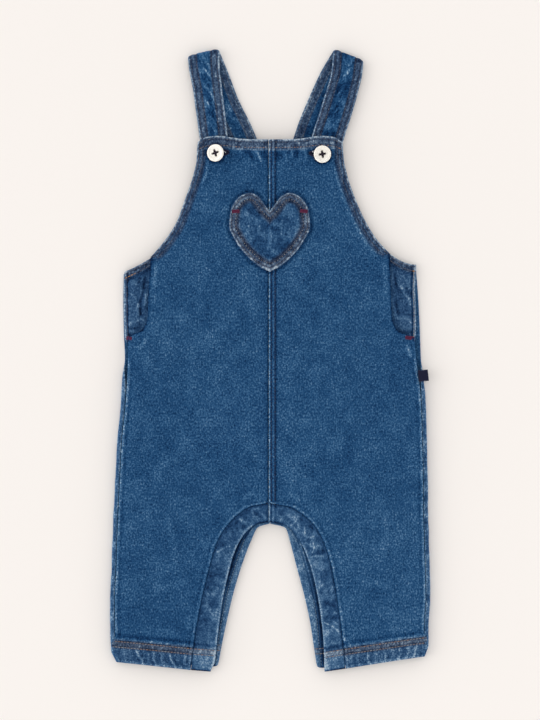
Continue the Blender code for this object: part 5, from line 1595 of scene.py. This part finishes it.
def light_and_camera():
    """A pale sky, brighter low down, one soft lamp on the left, and a camera straight above.

    The sky's strength is SKY_EVEN + SKY_LOW * exp(-SKY_NARROW * height squared).
    """
    world = bpy.data.worlds.new("studio")
    bpy.context.scene.world = world
    world.use_nodes = True
    tree = world.node_tree
    sky = tree.nodes["Background"]
    sky.inputs["Color"].default_value = (1.0, 1.0, 1.0, 1.0)
    split = tree.nodes.new("ShaderNodeSeparateXYZ")
    tree.links.new(tree.nodes.new("ShaderNodeTexCoord").outputs["Generated"], split.inputs[0])
    height = value = split.outputs["Z"]
    for operation, others in (("MULTIPLY", (height,)), ("MULTIPLY", (-SKY_NARROW,)),
                              ("EXPONENT", ()), ("MULTIPLY_ADD", (SKY_LOW, SKY_EVEN))):
        node = tree.nodes.new("ShaderNodeMath")
        node.operation = operation
        tree.links.new(value, node.inputs[0])
        for k, other in enumerate(others, 1):
            if other is height:
                tree.links.new(other, node.inputs[k])
            else:
                node.inputs[k].default_value = other
        value = node.outputs[0]
    tree.links.new(value, sky.inputs["Strength"])
    lamp = bpy.data.lights.new("window", "SUN")
    lamp.energy = 0.8
    lamp.angle = math.radians(45.0)
    window = bpy.data.objects.new("window", lamp)
    window.rotation_euler = (0.0, math.radians(-72.0), 0.0)
    bpy.context.scene.collection.objects.link(window)
    lens, sensor, frame_height = 150.0, 36.0, 0.576
    eye = bpy.data.cameras.new("camera")
    eye.lens = lens
    eye.sensor_width = sensor
    camera = bpy.data.objects.new("camera", eye)
    camera.location = (0.0, 0.0, frame_height / sensor * lens)
    bpy.context.scene.collection.objects.link(camera)
    bpy.context.scene.camera = camera
    bpy.context.scene.view_settings.view_transform = "Standard"


def main():
    body = denim("body denim")
    band = denim("band denim", lift=0.03, grain=0.75, grey=0.15)
    strap_denim = denim("strap denim", grain=0.95)
    pocket = denim("pocket denim", grain=0.85, grey=0.1)
    side_denim = denim("side denim", grain=0.9, grey=0.2)
    topstitch = thread("topstitch thread")
    red = plain_thread("red thread", (58, 24, 46), (104, 40, 72))
    faded = plain_thread("faded thread", (58, 86, 112), (112, 138, 160))
    dark = plain_thread("dark thread", (22, 18, 28), (48, 40, 50))
    navy = plain_thread("navy thread", (10, 14, 34), (26, 30, 56))
    pale = plain_thread("pale thread", (150, 152, 160), (196, 198, 202))
    cream = resin("button resin")
    floor(paper("floor paper"))
    for side, name in SIDES.items():
        own_back, own_placket = f"back_{name}_denim", f"leg_band_back_{name}_denim"
        cloth(own_back, back(side), body, f"back_{name}", "body_denim", "floor", facing=-1)
        cloth(own_placket, back_band(side), band, f"leg_band_back_{name}", "band_denim", own_back)
        cloth(f"front_{name}_denim", front(side), body, f"front_{name}", "body_denim", own_back)
        cloth(f"leg_band_front_{name}_denim", front_band(side), band, f"leg_band_front_{name}",
              "band_denim", own_placket)
        cloth(f"side_piece_{name}_denim", side_piece(side), side_denim, f"side_piece_{name}",
              "body_denim", own_back)
        cloth(f"strap_{name}_denim", strap(side), strap_denim, f"strap_{name}", "strap_denim",
              "floor", own_back, thickness=STRAP_CLOTH)
        for part, rows, finish in (("front", front_rows, topstitch), ("band", band_rows, topstitch),
                                   ("placket", placket_rows, faded), ("side", side_rows, topstitch),
                                   ("strap", strap_rows, topstitch)):
            sew(f"stitches_{part}_{name}", rows(side), finish)
    heart_pocket(pocket)
    sew("stitches_heart", heart_rows(), topstitch)
    sew("bartacks", [row for tack in BARTACKS for row in bartack(*tack)], red,
        wide=0.55, high=0.5, sink=0.0)
    for side in SIDES:
        button(side, cream)
        button_thread(side, dark)
        buttonhole(side, navy)
    for name, radius, points in THREAD_ENDS:
        thread_end(name, points, radius, pale)
    cloth("side_tab_tape", side_tab(), tape("navy tape"), "label_tab", "tab_navy",
          "back_right_denim", thickness=TAB_TAPE)
    light_and_camera()


main()
